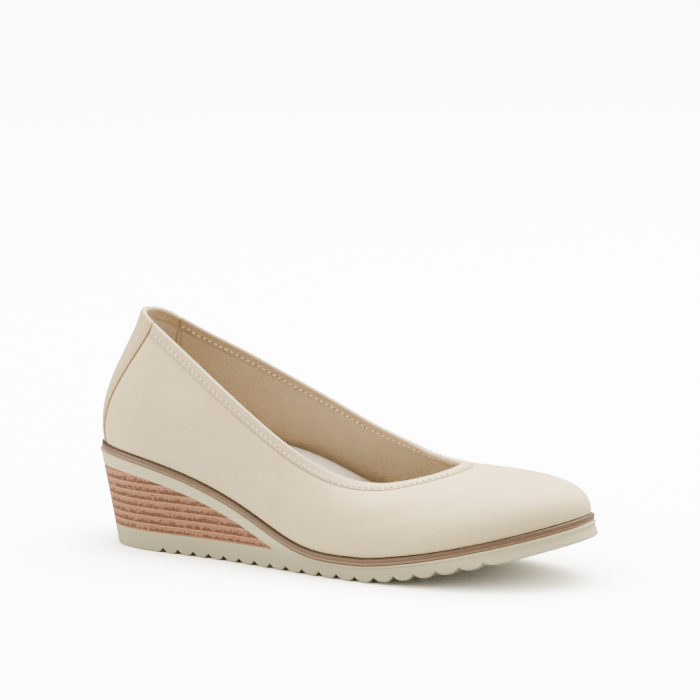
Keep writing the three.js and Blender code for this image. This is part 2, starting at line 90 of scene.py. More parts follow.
# Rows round the shoe from the back centre along the outer side to the toe and back along the inner
# side, as in the part: feather line, topline, height of the topline, and the handles of the rib
COLUMNS = ("along", "across", "top_along", "top_across", "top_rise",
           "low_out", "low_up", "high_out", "high_up")
ROWS = np.array([
    [0.003, -0.004, 0.078, 0.002, 1.00, 0.58, 0.35, 0.68, -0.35],
    [0.036, -0.256, 0.099, -0.144, 0.990, 0.55, 0.34, 0.78, -0.31],
    [0.133, -0.364, 0.181, -0.225, 0.870, 0.47, 0.31, 0.64, -0.28],
    [0.268, -0.381, 0.286, -0.286, 0.732, 0.49, 0.28, 0.48, -0.25],
    [0.403, -0.427, 0.390, -0.321, 0.636, 0.50, 0.22, 0.43, -0.19],
    [0.536, -0.486, 0.488, -0.330, 0.584, 0.60, 0.19, 0.51, -0.13],
    [0.667, -0.507, 0.582, -0.300, 0.505, 0.60, 0.19, 0.90, -0.08],
    [0.789, -0.474, 0.652, -0.223, 0.486, 0.40, 0.20, 1.39, -0.06],
    [0.898, -0.356, 0.701, -0.121, 0.498, 0.29, 0.25, 1.97, -0.06],
    [0.977, -0.148, 0.730, -0.019, 0.515, 0.17, 0.29, 2.55, -0.07],
    [1.000, 0.096, 0.736, 0.083, 0.532, 0.14, 0.31, 2.51, -0.07],
    [0.955, 0.312, 0.705, 0.164, 0.549, 0.25, 0.30, 1.91, -0.08],
    [0.860, 0.443, 0.650, 0.232, 0.584, 0.38, 0.24, 1.34, -0.08],
    [0.735, 0.490, 0.571, 0.286, 0.637, 0.60, 0.21, 0.87, -0.10],
    [0.616, 0.440, 0.469, 0.323, 0.661, 0.60, 0.22, 0.49, -0.16],
    [0.480, 0.357, 0.365, 0.316, 0.695, 0.51, 0.25, 0.39, -0.20],
    [0.340, 0.338, 0.258, 0.278, 0.784, 0.50, 0.28, 0.40, -0.25],
    [0.197, 0.353, 0.162, 0.215, 0.869, 0.49, 0.31, 0.51, -0.28],
    [0.055, 0.272, 0.099, 0.129, 0.966, 0.57, 0.34, 0.64, -0.31],
])
SCALES = (LAST_LENGTH, LAST_WIDTH, LAST_LENGTH, LAST_WIDTH, BACK_RISE,
          FULLNESS, BACK_RISE, FULLNESS, BACK_RISE)
TURN = len(ROWS)
RAMP = np.array([1, 0.99, 0.90, 0.70, 0.39, 0.05, 0, 0, 0, 0, 0])

# Soft creases of the upper: row round the shoe, share up the rib, half length in rows, half height as
# a share of the rib, lean of the fold, and depth in millimetres
CREASES = (
    (6.2, 0.42, 0.75, 0.10, 0.10, 0.42),
    (6.8, 0.30, 0.60, 0.08, 0.12, 0.30),
    (7.9, 0.50, 0.90, 0.09, 0.05, 0.34),
    (4.1, 0.55, 0.80, 0.12, -0.08, 0.30),
    (2.6, 0.35, 0.90, 0.13, 0.06, 0.28),
    (13.2, 0.40, 0.80, 0.10, -0.10, 0.40),
    (15.4, 0.50, 0.90, 0.12, 0.08, 0.32),
)


# Curves and heights of the last

def smooth(v):
    """Step from 0 to 1 with level ends: t t (3 - 2 t) of the clamped value."""
    t = np.clip(v, 0.0, 1.0)
    return t * t * (3 - 2 * t)


def spline_weights(t, slope=False):
    """Four weights of a uniform cubic B-spline, or of its slope."""
    if slope:
        return -((1 - t) ** 2) / 2, (9 * t * t - 12 * t) / 6, (-9 * t * t + 6 * t + 3) / 6, t * t / 2
    return ((1 - t) ** 3 / 6, (3 * t ** 3 - 6 * t * t + 4) / 6,
            (-3 * t ** 3 + 3 * t * t + 3 * t + 1) / 6, t ** 3 / 6)


def closed_curve(values):
    """Closed cubic B-spline through the values, read at a row number u, or its slope there."""
    count = len(values)
    eye = np.eye(count)
    control = np.linalg.solve((4 * eye + np.roll(eye, 1, 0) + np.roll(eye, -1, 0)) / 6, values)

    def read(u, slope=False):
        cell = np.floor(u).astype(int)
        weights = spline_weights(u - cell, slope)
        return sum(w * control[(cell - 1 + k) % count] for k, w in enumerate(weights))
    return read


CURVES = {name: closed_curve(ROWS[:, k] * SCALES[k]) for k, name in enumerate(COLUMNS)}


def ramp(place):
    """Share of the drop from heel seat to forepart: open cubic B-spline through RAMP, straight
    past its ends."""
    last = len(RAMP) - 1
    system = (4 * np.eye(last + 1) + np.eye(last + 1, k=1) + np.eye(last + 1, k=-1)) / 6
    system[0] = system[last] = 0
    system[0, 0] = system[last, last] = 1
    inner = np.linalg.solve(system, RAMP)
    control = np.concatenate([[2 * inner[0] - inner[1]], inner, [2 * inner[-1] - inner[-2]]])
    place = np.clip(place, 0, last - 1e-6)
    cell = np.floor(place).astype(int)
    return sum(w * control[cell + k] for k, w in enumerate(spline_weights(place - cell)))


def swell(x, centre, spread):
    """Bump of unit height centred at a share of the length."""
    return np.exp(-(((x / LAST_LENGTH - centre) / spread) ** 2))


def ground(x):
    """Ground line: flat under heel and ball, rising under the toe by a power of the distance
    past the ball."""
    return TOE_SPRING * (np.maximum(0, x / LAST_LENGTH - BALL_LINE) / 0.33) ** 1.32


def bed(x, y):
    """Height of the foot's bed: ground, sole and heel ramp, with a swell under the inner arch."""
    arch = ARCH_RISE * smooth(y / LAST_WIDTH / 0.54 + 0.27) * swell(x, 0.463, 0.149)
    return ground(x) + FOREPART + (HEEL_SEAT - FOREPART) * ramp(x / LAST_LENGTH * 8 + 1) + arch


def band_under(x, y):
    """Underside of the band over the wedge: the bed less welt, gap and band, thicker at the heel."""
    thick = BAND + BAND_HEEL * np.exp(-np.maximum(0, x / LAST_LENGTH) / 0.058)
    return bed(x, y) - WELT_HEIGHT - GAP - thick


def tread_margin(x):
    """Set-out of the tread edge from the feather line: tucked in at the heel, flared at the toe."""
    flare = TREAD_FLARE * smooth((x / LAST_LENGTH - 0.165) / 0.785)
    return flare - TREAD_TUCK - HEEL_TAPER * np.exp(-np.maximum(0, x / LAST_LENGTH) / 0.07)


def notch_rise(x, depth):
    """Height of the rippled tread over the ground: a steep face behind each valley, a round
    tooth before it."""
    k = np.arange(NOTCHES)
    grown = k * (1 + NOTCH_GROWTH * k)
    centres = LAST_LENGTH * (0.177 + (0.871 - 0.177) * grown / grown[-1])
    pitch = np.gradient(centres)
    away = (np.asarray(x)[..., None] - centres) / pitch
    face = np.interp(away, [-0.34, -0.27, -0.18, -0.10, -0.03, 0.0, 0.05, 0.13, 0.24, 0.38, 0.56],
                     [0, 0.07, 0.24, 0.62, 0.96, 1, 0.80, 0.50, 0.25, 0.08, 0])
    return depth * face.max(-1)


def outward(u, top=False):
    """Outward direction in plan of the feather line or the topline: its slope turned by a quarter."""
    fx, fy = ("top_along", "top_across") if top else ("along", "across")
    dx, dy = CURVES[fx](u, True), CURVES[fy](u, True)
    size = np.hypot(dx, dy)
    return dy / size, -dx / size


def outline(u, margin):
    """Plan point set out from the feather line by a margin along the outward direction."""
    nx, ny = outward(u)
    return CURVES["along"](u) + nx * margin, CURVES["across"](u) + ny * margin


def feather_height(u):
    """Height of the bed under the feather line."""
    return bed(CURVES["along"](u), CURVES["across"](u))


def rib(u, v):
    """Point of the upper: cubic Bezier from the feather line to the topline at row u, share v."""
    nx, ny = outward(u)
    mx, my = outward(u, True)
    c = {name: curve(u) for name, curve in CURVES.items()}
    foot = (c["along"], c["across"], bed(c["along"], c["across"]))
    top = (c["top_along"], c["top_across"], bed(c["top_along"], c["top_across"]) + c["top_rise"])
    low = (foot[0] + nx * c["low_out"], foot[1] + ny * c["low_out"], foot[2] + c["low_up"])
    high = (top[0] + mx * c["high_out"], top[1] + my * c["high_out"], top[2] + c["high_up"])
    w = ((1 - v) ** 3, 3 * v * (1 - v) ** 2, 3 * v * v * (1 - v), v ** 3)
    return np.stack([w[0] * a + w[1] * b + w[2] * d + w[3] * e
                     for a, b, d, e in zip(foot, low, high, top)], -1)


def facing(u, v):
    """Outward normal of the upper: cross product of its slopes round and up."""
    step = 1e-3
    round_it = rib(u + step, v) - rib(u - step, v)
    up_it = rib(u, np.minimum(1, v + step)) - rib(u, np.maximum(0, v - step))
    normal = np.cross(round_it, up_it)
    return normal / np.linalg.norm(normal, axis=-1, keepdims=True)


def rib_table(u, steps=60):
    """Lengths along each rib, measured down from the topline, for each row number in u."""
    v = 1 - np.arange(steps + 1) / steps
    points = rib(u[:, None], v[None, :])
    spans = np.linalg.norm(np.diff(points, axis=1), axis=-1)
    return np.concatenate([np.zeros((len(u), 1)), np.cumsum(spans, 1)], 1)


def rib_length(u):
    """Whole length of each rib."""
    return rib_table(np.atleast_1d(u))[:, -1]


def share(u, down):
    """Share of the rib at a distance down from the topline, read from the length tables."""
    u, down = np.broadcast_arrays(u, down)
    rows, back = np.unique(u.ravel(), return_inverse=True)
    table = rib_table(rows)
    steps = table.shape[1] - 1
    reach = np.clip(down.ravel(), 0, table[back, -1] - 1e-9)
    apart = 1000.0
    lengths = (table + apart * np.arange(len(rows))[:, None]).ravel()
    shares = np.tile(1 - np.arange(steps + 1) / steps, len(rows))
    return np.interp(reach + apart * back, lengths, shares).reshape(u.shape)


def skin(u, down, depth):
    """Point a distance down the rib from the topline and a depth inside its surface."""
    u, down, depth = np.broadcast_arrays(u, down, depth)
    v = share(u, down)
    return rib(u, v) - facing(u, v) * depth[..., None]


def seam(v):
    """Row number of the back panel's seam, wider towards the top."""
    return 0.87 + 0.5 * v


def backing(u, v):
    """Depth the upper sinks under the back panel, fading past its seam."""
    turn = np.mod(u, TURN)
    away = np.minimum(turn, TURN - turn)
    return PANEL_SINK * smooth((seam(v) + 0.10 - away) / 0.16)


def even_rows(start, end, down, count):
    """Row numbers that lie evenly along the shoe at a distance below the topline."""
    u = np.linspace(start, end, 1200)
    points = skin(u, np.full_like(u, down), np.zeros_like(u))
    run = np.concatenate([[0], np.cumsum(np.linalg.norm(np.diff(points, axis=0), axis=1))])
    return np.interp(np.linspace(0, run[-1], count), run, u), run[-1]


def last_to_frame():
    """Shift from the last to the frame: middle of the sole's box less the middle of its own outline."""
    u = np.linspace(0, TURN, 400, endpoint=False)
    plans = [outline(u, SOLE_MARGIN + BEAD), outline(u, tread_margin(CURVES["along"](u)))]
    x = np.concatenate([p[0] for p in plans])
    y = np.concatenate([p[1] for p in plans])
    low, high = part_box("sole_unit")
    return np.array([(low[0] + high[0]) * 500 - (x.min() + x.max()) / 2,
                     (low[1] + high[1]) * 500 - (y.min() + y.max()) / 2, 0.0])


SHIFT = last_to_frame()

# Turning grids of points into pieces


def grid_faces(rows, columns, ring):
    """Quads of a grid whose columns close on themselves, and whose rows do too when it is a ring."""
    i, j = np.meshgrid(np.arange(rows if ring else rows - 1), np.arange(columns), indexing="ij")
    k, n = (j + 1) % columns, (i + 1) % rows
    return np.stack([i * columns + j, n * columns + j, n * columns + k, i * columns + k], -1).reshape(-1, 4)


def piece(name, points, quads, materials, replaces=(), ends=(), tints=None, finish=None, sharp=0.9):
    """Mesh from points in last millimetres and quads; end loops are closed, doubles merged,
    faces turned out."""
    mesh = bpy.data.meshes.new(name)
    flat = ((points.reshape(-1, 3) + SHIFT) / 1000).astype(np.float32)
    mesh.vertices.add(len(flat))
    mesh.vertices.foreach_set("co", flat.ravel())
    corners = np.concatenate([quads.ravel(), *ends]).astype(np.int32)
    sizes = np.array([4] * len(quads) + [len(e) for e in ends])
    mesh.loops.add(len(corners))
    mesh.loops.foreach_set("vertex_index", corners)
    mesh.polygons.add(len(sizes))
    mesh.polygons.foreach_set("loop_start", np.concatenate([[0], np.cumsum(sizes)[:-1]]).astype(np.int32))
    mesh.update(calc_edges=True)
    for key, values in (tints or {}).items():
        layer = mesh.attributes.new(key, "FLOAT", "POINT")
        layer.data.foreach_set("value", np.asarray(values, np.float32).ravel())
    if finish is not None:
        mesh.polygons.foreach_set("material_index", np.asarray(finish, np.int32))
    work = bmesh.new()
    work.from_mesh(mesh)
    bmesh.ops.remove_doubles(work, verts=work.verts, dist=2e-6)
    bmesh.ops.dissolve_degenerate(work, edges=work.edges, dist=1e-7)
    bmesh.ops.recalc_face_normals(work, faces=work.faces)
    work.to_mesh(mesh)
    work.free()
    mesh.shade_smooth()
    mesh.set_sharp_from_angle(angle=sharp)
    for material in materials:
        mesh.materials.append(material)
    made = bpy.data.objects.new(name, mesh)
    bpy.context.scene.collection.objects.link(made)
    if replaces:
        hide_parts(*replaces)
    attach(made, "root")
    return made


def tubes(paths, normals, radius, flat=1.0, sides=8):
    """Closed tubes along many paths at once: a ring across each path point, and the faces of each tube."""
    tangent = np.gradient(paths, axis=1)
    tangent /= np.linalg.norm(tangent, axis=-1, keepdims=True)
    side = np.cross(tangent, normals)
    side /= np.linalg.norm(side, axis=-1, keepdims=True)
    turn = np.linspace(0, 2 * np.pi, sides, endpoint=False)
    ring = (np.cos(turn)[:, None] * side[:, :, None, :]
            + np.sin(turn)[:, None] * normals[:, :, None, :] * flat)
    points = paths[:, :, None, :] + ring * radius[..., None, None]
    count, steps = paths.shape[:2]
    quads = grid_faces(steps, sides, False)
    every = (quads[None] + (np.arange(count) * steps * sides)[:, None, None]).reshape(-1, 4)
    first = np.arange(count)[:, None] * steps * sides + np.arange(sides)
    ends = list(first) + list(first + (steps - 1) * sides)
    return points, every, ends


# Finishes


def node(tree, kind, inputs=None, **settings):
    """Add a shader node, set its settings, and set or link its inputs."""
    made = tree.nodes.new(kind)
    for key, value in settings.items():
        setattr(made, key, value)
    for key, value in (inputs or {}).items():
        if isinstance(value, bpy.types.NodeSocket):
            tree.links.new(value, made.inputs[key])
        else:
            made.inputs[key].default_value = value
    return made


def group(name, inputs, outputs):
    """New shader node group with named inputs and outputs, and its two end nodes."""
    tree = bpy.data.node_groups.new(name, "ShaderNodeTree")
    kinds = {"f": "NodeSocketFloat", "v": "NodeSocketVector", "c": "NodeSocketColor"}
    for label, kind in inputs:
        tree.interface.new_socket(label, in_out="INPUT", socket_type=kinds[kind])
    for label, kind in outputs:
        tree.interface.new_socket(label, in_out="OUTPUT", socket_type=kinds[kind])
    return tree, tree.nodes.new("NodeGroupInput").outputs, tree.nodes.new("NodeGroupOutput").inputs


def math(tree, operation, first, second=0.0, clamp=False):
    """Math node with two inputs, returning its result."""
    made = tree.nodes.new("ShaderNodeMath")
    made.operation = operation
    made.use_clamp = clamp
    for k, value in enumerate((first, second)):
        if isinstance(value, bpy.types.NodeSocket):
            tree.links.new(value, made.inputs[k])
        else:
            made.inputs[k].default_value = value
    return made.outputs[0]


def blend(tree, share_of, first, second, mode="MIX"):
    """Colour mix of two colours by a share, returning its result."""
    made = tree.nodes.new("ShaderNodeMix")
    made.data_type = "RGBA"
    made.blend_type = mode
    for place, value in ((0, share_of), (6, first), (7, second)):
        if isinstance(value, bpy.types.NodeSocket):
            tree.links.new(value, made.inputs[place])
        else:
            made.inputs[place].default_value = value
    return made.outputs[2]


def noise(tree, vector, scale, detail=3.0, rough=0.55, distort=0.0):
    """Noise value at a scale per metre."""
    made = node(tree, "ShaderNodeTexNoise", {"Vector": vector, "Scale": scale, "Detail": detail,
                                             "Roughness": rough, "Distortion": distort})
    return made.outputs["Fac"]


def spread(tree, value, low, high, to_low=0.0, to_high=1.0):
    """Map a value from one range to another, smoothly and clamped."""
    made = node(tree, "ShaderNodeMapRange", {"Value": value, "From Min": low, "From Max": high,
                                             "To Min": to_low, "To Max": to_high},
                interpolation_type="SMOOTHSTEP")
    return made.outputs["Result"]


def tone_group():
    """Slow drift of tone and a fine speckle over a colour, as on dyed leather."""
    tree, given, out = group("Dyed tone", [("Vector", "v"), ("Colour", "c"), ("Drift", "f"), ("Speckle", "f"),
                                           ("Size", "f")], [("Colour", "c")])
    slow = noise(tree, given["Vector"], 14.0, 3.0, 0.5)
    mid = noise(tree, given["Vector"], 75.0, 4.0, 0.6)
    fine = noise(tree, given["Vector"], given["Size"], 2.0, 0.6)
    wave = math(tree, "SUBTRACT", math(tree, "ADD", slow, math(tree, "MULTIPLY", mid, 0.5)), 0.75)
    shift = math(tree, "MULTIPLY", wave, given["Drift"])
    speck = math(tree, "MULTIPLY", math(tree, "SUBTRACT", fine, 0.5), given["Speckle"])
    light = math(tree, "ADD", 1.0, math(tree, "ADD", shift, speck))
    tint = node(tree, "ShaderNodeHueSaturation", {"Hue": 0.5, "Saturation": 1.0, "Value": light, "Fac": 1.0,
                                                  "Color": given["Colour"]})
    tree.links.new(tint.outputs["Color"], out["Colour"])
    return tree


def nap_group():
    """Height of a brushed nap: short fibres from stretched noise over soft fine noise."""
    tree, given, out = group("Brushed nap", [("Vector", "v"), ("Size", "f")],
                             [("Height", "f"), ("Sheen tone", "f")])
    fine = noise(tree, given["Vector"], given["Size"], 3.0, 0.7, 0.3)
    coarse = noise(tree, given["Vector"], math(tree, "MULTIPLY", given["Size"], 0.22), 3.0, 0.6)
    tree.links.new(math(tree, "ADD", math(tree, "MULTIPLY", fine, 0.6), math(tree, "MULTIPLY", coarse, 0.4)),
                   out["Height"])
    tree.links.new(spread(tree, coarse, 0.35, 0.68), out["Sheen tone"])
    return tree


def grain_group():
    """Height of smooth leather grain: rounded cells with soft valleys, broken by fine noise."""
    tree, given, out = group("Leather grain", [("Vector", "v"), ("Size", "f")],
                             [("Height", "f"), ("Valley", "f")])
    warp = node(tree, "ShaderNodeVectorMath",
                {0: given["Vector"], 1: (0.0004, 0.0004, 0.0004)}, operation="ADD")
    cells = node(tree, "ShaderNodeTexVoronoi", {"Vector": warp.outputs[0], "Scale": given["Size"],
                                                "Randomness": 0.9}, feature="SMOOTH_F1")
    cells.inputs["Smoothness"].default_value = 0.5
    fine = noise(tree, given["Vector"], math(tree, "MULTIPLY", given["Size"], 2.5), 3.0, 0.6)
    valley = spread(tree, cells.outputs["Distance"], 0.25, 0.75)
    height = math(tree, "SUBTRACT", math(tree, "MULTIPLY", fine, 0.35), math(tree, "MULTIPLY", valley, 0.65))
    tree.links.new(height, out["Height"])
    tree.links.new(valley, out["Valley"])
    return tree


def pit_group():
    """Torn pits of stacked leather: stretched noise cut to patches, strongest at the middle of a lift."""
    tree, given, out = group("Torn pits", [("Vector", "v"), ("Level", "f"), ("Amount", "f")],
                             [("Pit", "f"), ("Height", "f"), ("Streak", "f")])
    long = node(tree, "ShaderNodeMapping", {"Vector": given["Vector"], "Scale": (1.0, 1.0, 0.9)})
    tall = node(tree, "ShaderNodeMapping", {"Vector": given["Vector"], "Scale": (1.0, 1.0, 0.45)})
    torn = noise(tree, long.outputs[0], 480.0, 4.0, 0.7, 0.8)
    nick = noise(tree, tall.outputs[0], 950.0, 3.0, 0.65, 0.4)
    streak = noise(tree, tall.outputs[0], 1300.0, 3.0, 0.6)
    where = math(tree, "MULTIPLY", spread(tree, given["Level"], 0.0, 0.08),
                 spread(tree, given["Level"], 0.78, 0.18))
    value = math(tree, "ADD", math(tree, "MULTIPLY", torn, 0.55), math(tree, "MULTIPLY", nick, 0.45))
    edge = math(tree, "SUBTRACT", 0.60, math(tree, "MULTIPLY", where, given["Amount"]))
    pit = spread(tree, math(tree, "SUBTRACT", value, edge), -0.02, 0.04)
    tree.links.new(pit, out["Pit"])
    tree.links.new(math(tree, "SUBTRACT", math(tree, "MULTIPLY", streak, 0.3), pit), out["Height"])
    tree.links.new(streak, out["Streak"])
    return tree


def use(tree, source, inputs):
    """Group node of a shared effect with its inputs set or linked."""
    made = tree.nodes.new("ShaderNodeGroup")
    made.node_tree = source
    for key, value in inputs.items():
        if isinstance(value, bpy.types.NodeSocket):
            tree.links.new(value, made.inputs[key])
        else:
            made.inputs[key].default_value = value
    return made.outputs


def finish(name, roughness, **fixed):
    """New material: its tree, its shader, and the object's own coordinates. Fixed values go on the shader."""
    material = bpy.data.materials.new(name)
    material.use_nodes = True
    tree = material.node_tree
    shader = tree.nodes["Principled BSDF"]
    shader.inputs["Roughness"].default_value = roughness
    for key, value in fixed.items():
        shader.inputs[key.replace("_", " ")].default_value = value
    return material, tree, shader, tree.nodes.new("ShaderNodeTexCoord").outputs["Object"]


def relief(tree, shader, height, distance, strength=1.0):
    """Bump of a height, in metres of distance, on the shader."""
    bump = node(tree, "ShaderNodeBump", {"Height": height, "Distance": distance, "Strength": strength})
    tree.links.new(bump.outputs["Normal"], shader.inputs["Normal"])


def tint(tree, name):
    """Value of a mesh attribute."""
    return node(tree, "ShaderNodeAttribute", attribute_name=name).outputs["Fac"]


def colour(value):
    """Screen colour, three shares from 0 to 1, as a linear colour with full alpha."""
    c = np.asarray(value, float)
    linear = np.where(c <= 0.04045, c / 12.92, ((c + 0.055) / 1.055) ** 2.4)
    return (*[float(x) for x in linear], 1.0)


class Finishes:
    """The shoe's finishes, made once from the colours of the scene."""

    def __init__(self, hues):
        self.tone, self.nap, self.grain, self.pits = tone_group(), nap_group(), grain_group(), pit_group()
        self.hues = hues

    def nubuck(self):
        """Brushed nubuck: pale beige, matt, with slow cloudy tone and a short nap."""
        made, tree, shader, here = finish("nubuck", 0.82, Sheen_Weight=0.25, Sheen_Roughness=0.45,
                                          Specular_IOR_Level=0.25)
        nap = use(tree, self.nap, {"Vector": here, "Size": 2600.0})
        base = use(tree, self.tone, {"Vector": here, "Colour": colour(self.hues.nubuck), "Drift": 0.13,
                                     "Speckle": 0.10, "Size": 1300.0})
        cloud = spread(tree, noise(tree, here, 38.0, 4.0, 0.6), 0.40, 0.68, 0.0, 0.5)
        shade = math(tree, "ADD", cloud, math(tree, "MULTIPLY", nap["Sheen tone"], 0.40))
        warm = blend(tree, shade, base["Colour"], colour(np.array(self.hues.nubuck) * (0.970, 0.945, 0.905)))
        tree.links.new(warm, shader.inputs["Base Color"])
        relief(tree, shader, nap["Height"], 0.00012, 0.7)
        return made

    def lining(self):
        """Tan lining leather: fine grain with small pores."""
        made, tree, shader, here = finish("lining", 0.62, Specular_IOR_Level=0.3)
        grain = use(tree, self.grain, {"Vector": here, "Size": 1100.0})
        base = use(tree, self.tone, {"Vector": here, "Colour": colour(self.hues.lining), "Drift": 0.10,
                                     "Speckle": 0.06, "Size": 900.0})
        dark = blend(tree, math(tree, "MULTIPLY", grain["Valley"], 0.15), base["Colour"],
                     colour(np.array(self.hues.lining) * 0.8))
        tree.links.new(dark, shader.inputs["Base Color"])
        relief(tree, shader, grain["Height"], 0.00012, 0.5)
        return made

    def binding(self):
        """Binding strip: slightly warmer nubuck outside, a painted highlight along the rolled rim, tan inside
        as the binding's cream darkened into painted shade, brown cut edges.
        """
        made, tree, shader, here = finish("binding", 0.66, Sheen_Weight=0.15, Specular_IOR_Level=0.35)
        nap = use(tree, self.nap, {"Vector": here, "Size": 2400.0})
        base = use(tree, self.tone, {"Vector": here, "Colour": colour(self.hues.binding), "Drift": 0.07,
                                     "Speckle": 0.05, "Size": 1600.0})
        # tan inside: the binding's cream darkened as painted shade inside the collar
        inner = use(tree, self.tone, {"Vector": here, "Colour": colour(self.hues.binding_inside_shaded),
                                      "Drift": 0.10,
                                      "Speckle": 0.06, "Size": 1200.0})
        rolled = blend(tree, tint(tree, "inside"), base["Colour"], inner["Colour"])
        # painted highlight: the rolled rim of the fold is lightened towards a pale colour
        lit = blend(tree, math(tree, "MULTIPLY", tint(tree, "rim"), 0.55), rolled, colour((0.93, 0.90, 0.85)))
        cut = blend(tree, tint(tree, "cut"), lit, colour(self.hues.cut_edge))
        # painted shade in the stitch holes: darker brown where the thread goes through
        hole_shaded = blend(tree, tint(tree, "hole_shade"), cut, colour((0.45, 0.36, 0.28)))
        tree.links.new(hole_shaded, shader.inputs["Base Color"])
        relief(tree, shader, nap["Height"], 0.00008, 0.5)
        return made

    def panel(self):
        """Back panel: light stretch leather with a fine crosswise rib that follows the panel."""
        made, tree, shader, here = finish("back_panel", 0.60, Sheen_Weight=0.20, Specular_IOR_Level=0.35)
        grain = use(tree, self.grain, {"Vector": here, "Size": 1500.0})
        base = use(tree, self.tone, {"Vector": here, "Colour": colour(self.hues.panel), "Drift": 0.08,
                                     "Speckle": 0.10, "Size": 1300.0})
        rib_line = node(tree, "ShaderNodeMath", {0: math(tree, "MULTIPLY", tint(tree, "drop"), 7.4)},
                        operation="SINE").outputs[0]
        # inside of the panel's fold: the same darkened colour, painted shade inside the collar
        inner = blend(tree, tint(tree, "inside"), base["Colour"], colour(self.hues.binding_inside_shaded))
        lined = blend(tree, spread(tree, rib_line, -1.0, 1.0, 0.10, 0.0), inner,
                      colour(np.array(self.hues.panel) * 0.78))
        cut = blend(tree, tint(tree, "cut"), lined, colour(self.hues.cut_edge))
        tree.links.new(cut, shader.inputs["Base Color"])
        height = math(tree, "ADD", grain["Height"], math(tree, "MULTIPLY", rib_line, 0.35))
        relief(tree, shader, height, 0.00012, 0.6)
        return made

    def seam_cord(self):
        """Tan seam cord, waxed, with a fine twist."""
        made, tree, shader, here = finish("seam_cord", 0.5, Specular_IOR_Level=0.4)
        base = use(tree, self.tone, {"Vector": here, "Colour": colour(self.hues.seam), "Drift": 0.15,
                                     "Speckle": 0.15, "Size": 2000.0})
        tree.links.new(base["Colour"], shader.inputs["Base Color"])
        relief(tree, shader, noise(tree, here, 3000.0, 2.0), 0.00006, 0.6)
        return made

    def thread(self):
        """Off-white thread: two plies twisted along each stitch."""
        made, tree, shader, here = finish("thread", 0.55, Sheen_Weight=0.3, Specular_IOR_Level=0.4)
        base = use(tree, self.tone, {"Vector": here, "Colour": colour(self.hues.thread), "Drift": 0.06,
                                     "Speckle": 0.12, "Size": 3500.0})
        tree.links.new(base["Colour"], shader.inputs["Base Color"])
        ply = node(tree, "ShaderNodeMath", {0: math(tree, "MULTIPLY", tint(tree, "twist"), 6.2832)},
                   operation="SINE").outputs[0]
        relief(tree, shader, ply, 0.00006, 0.8)
        return made

    def welt(self):
        """Painted welt: painted shade in the crease under the upper, brown on the face, paler along the lower
        bevel as a painted highlight from the floor.
        """
        made, tree, shader, here = finish("welt", 0.48, Specular_IOR_Level=0.45)
        grain = use(tree, self.grain, {"Vector": here, "Size": 1700.0})
        rise = tint(tree, "rise")
        # paler towards the bottom: painted highlight along the lower bevel, from light off the floor
        low = blend(tree, spread(tree, rise, 0.16, 0.42), colour(self.hues.welt_bevel_highlight), colour(self.hues.welt))
        # darker towards the top: painted shade in the crease under the upper
        face = blend(tree, spread(tree, rise, 0.72, 1.0), low, colour(np.array(self.hues.welt) * 0.72))
        base = use(tree, self.tone, {"Vector": here, "Colour": face, "Drift": 0.16,
                                     "Speckle": 0.08, "Size": 1100.0})
        tree.links.new(base["Colour"], shader.inputs["Base Color"])
        relief(tree, shader, grain["Height"], 0.00010, 0.45)
        return made

    def rubber(self):
        """Moulded sole: matt grey-beige foam rubber with a fine even texture and faint scuffs, darkened on
        the tread and towards the ground as painted shade.
        """
        made, tree, shader, here = finish("sole_rubber", 0.58, Specular_IOR_Level=0.4)
        fine = noise(tree, here, 2200.0, 3.0, 0.6)
        base = use(tree, self.tone, {"Vector": here, "Colour": colour(self.hues.sole), "Drift": 0.07,
                                     "Speckle": 0.04, "Size": 1800.0})
        long = node(tree, "ShaderNodeMapping", {"Vector": here, "Scale": (1.0, 1.0, 6.0)})
        scuff = spread(tree, noise(tree, long.outputs[0], 120.0, 5.0, 0.7), 0.60, 0.75, 0.0, 0.18)
        worn = blend(tree, scuff, base["Colour"], colour(np.array(self.hues.sole) * 0.88))
        # painted shade: darker on the tread and its rounded foot
        painted_low_shade = blend(tree, math(tree, "MULTIPLY", tint(tree, "tread"), 0.30), worn,
                      colour(np.array(self.hues.sole) * 0.80))
        # painted shade: darker towards the ground, below 16 mm
        height = node(tree, "ShaderNodeSeparateXYZ", {0: here}).outputs["Z"]
        painted_low_shade = blend(tree, spread(tree, height, 0.016, 0.006, 0.0, 0.85), painted_low_shade,
                      colour(np.array(self.hues.sole) * 0.84))
        tree.links.new(painted_low_shade, shader.inputs["Base Color"])
        tree.links.new(spread(tree, fine, 0.3, 0.7, 0.50, 0.66), shader.inputs["Roughness"])
        relief(tree, shader, fine, 0.00008, 0.5)
        return made

    def stacked(self):
        """Stacked leather: a bright line along each lift's top, torn dark pits over its lower half."""
        made, tree, shader, here = finish("stacked_leather", 0.66, Specular_IOR_Level=0.3)
        level = tint(tree, "level")
        pits = use(tree, self.pits, {"Vector": here, "Level": level, "Amount": 0.155})
        base = use(tree, self.tone, {"Vector": here, "Colour": colour(self.hues.wedge), "Drift": 0.14,
                                     "Speckle": 0.16, "Size": 1400.0})
        body = blend(tree, spread(tree, pits["Streak"], 0.42, 0.66, 0.0, 0.65), base["Colour"],
                     colour(np.array(self.hues.wedge) * (0.80, 0.76, 0.76)))
        torn = blend(tree, math(tree, "MULTIPLY", pits["Pit"], 0.85), body, colour(self.hues.wedge_pit))
        foot = blend(tree, spread(tree, level, 0.12, 0.0, 0.0, 0.55), torn, colour(self.hues.wedge_pit))
        rims = math(tree, "MAXIMUM", spread(tree, level, 0.84, 0.93), tint(tree, "glued"))
        line = blend(tree, rims, foot, colour(self.hues.wedge_line))
        tree.links.new(line, shader.inputs["Base Color"])
        relief(tree, shader, pits["Height"], 0.0004, 0.8)
        return made

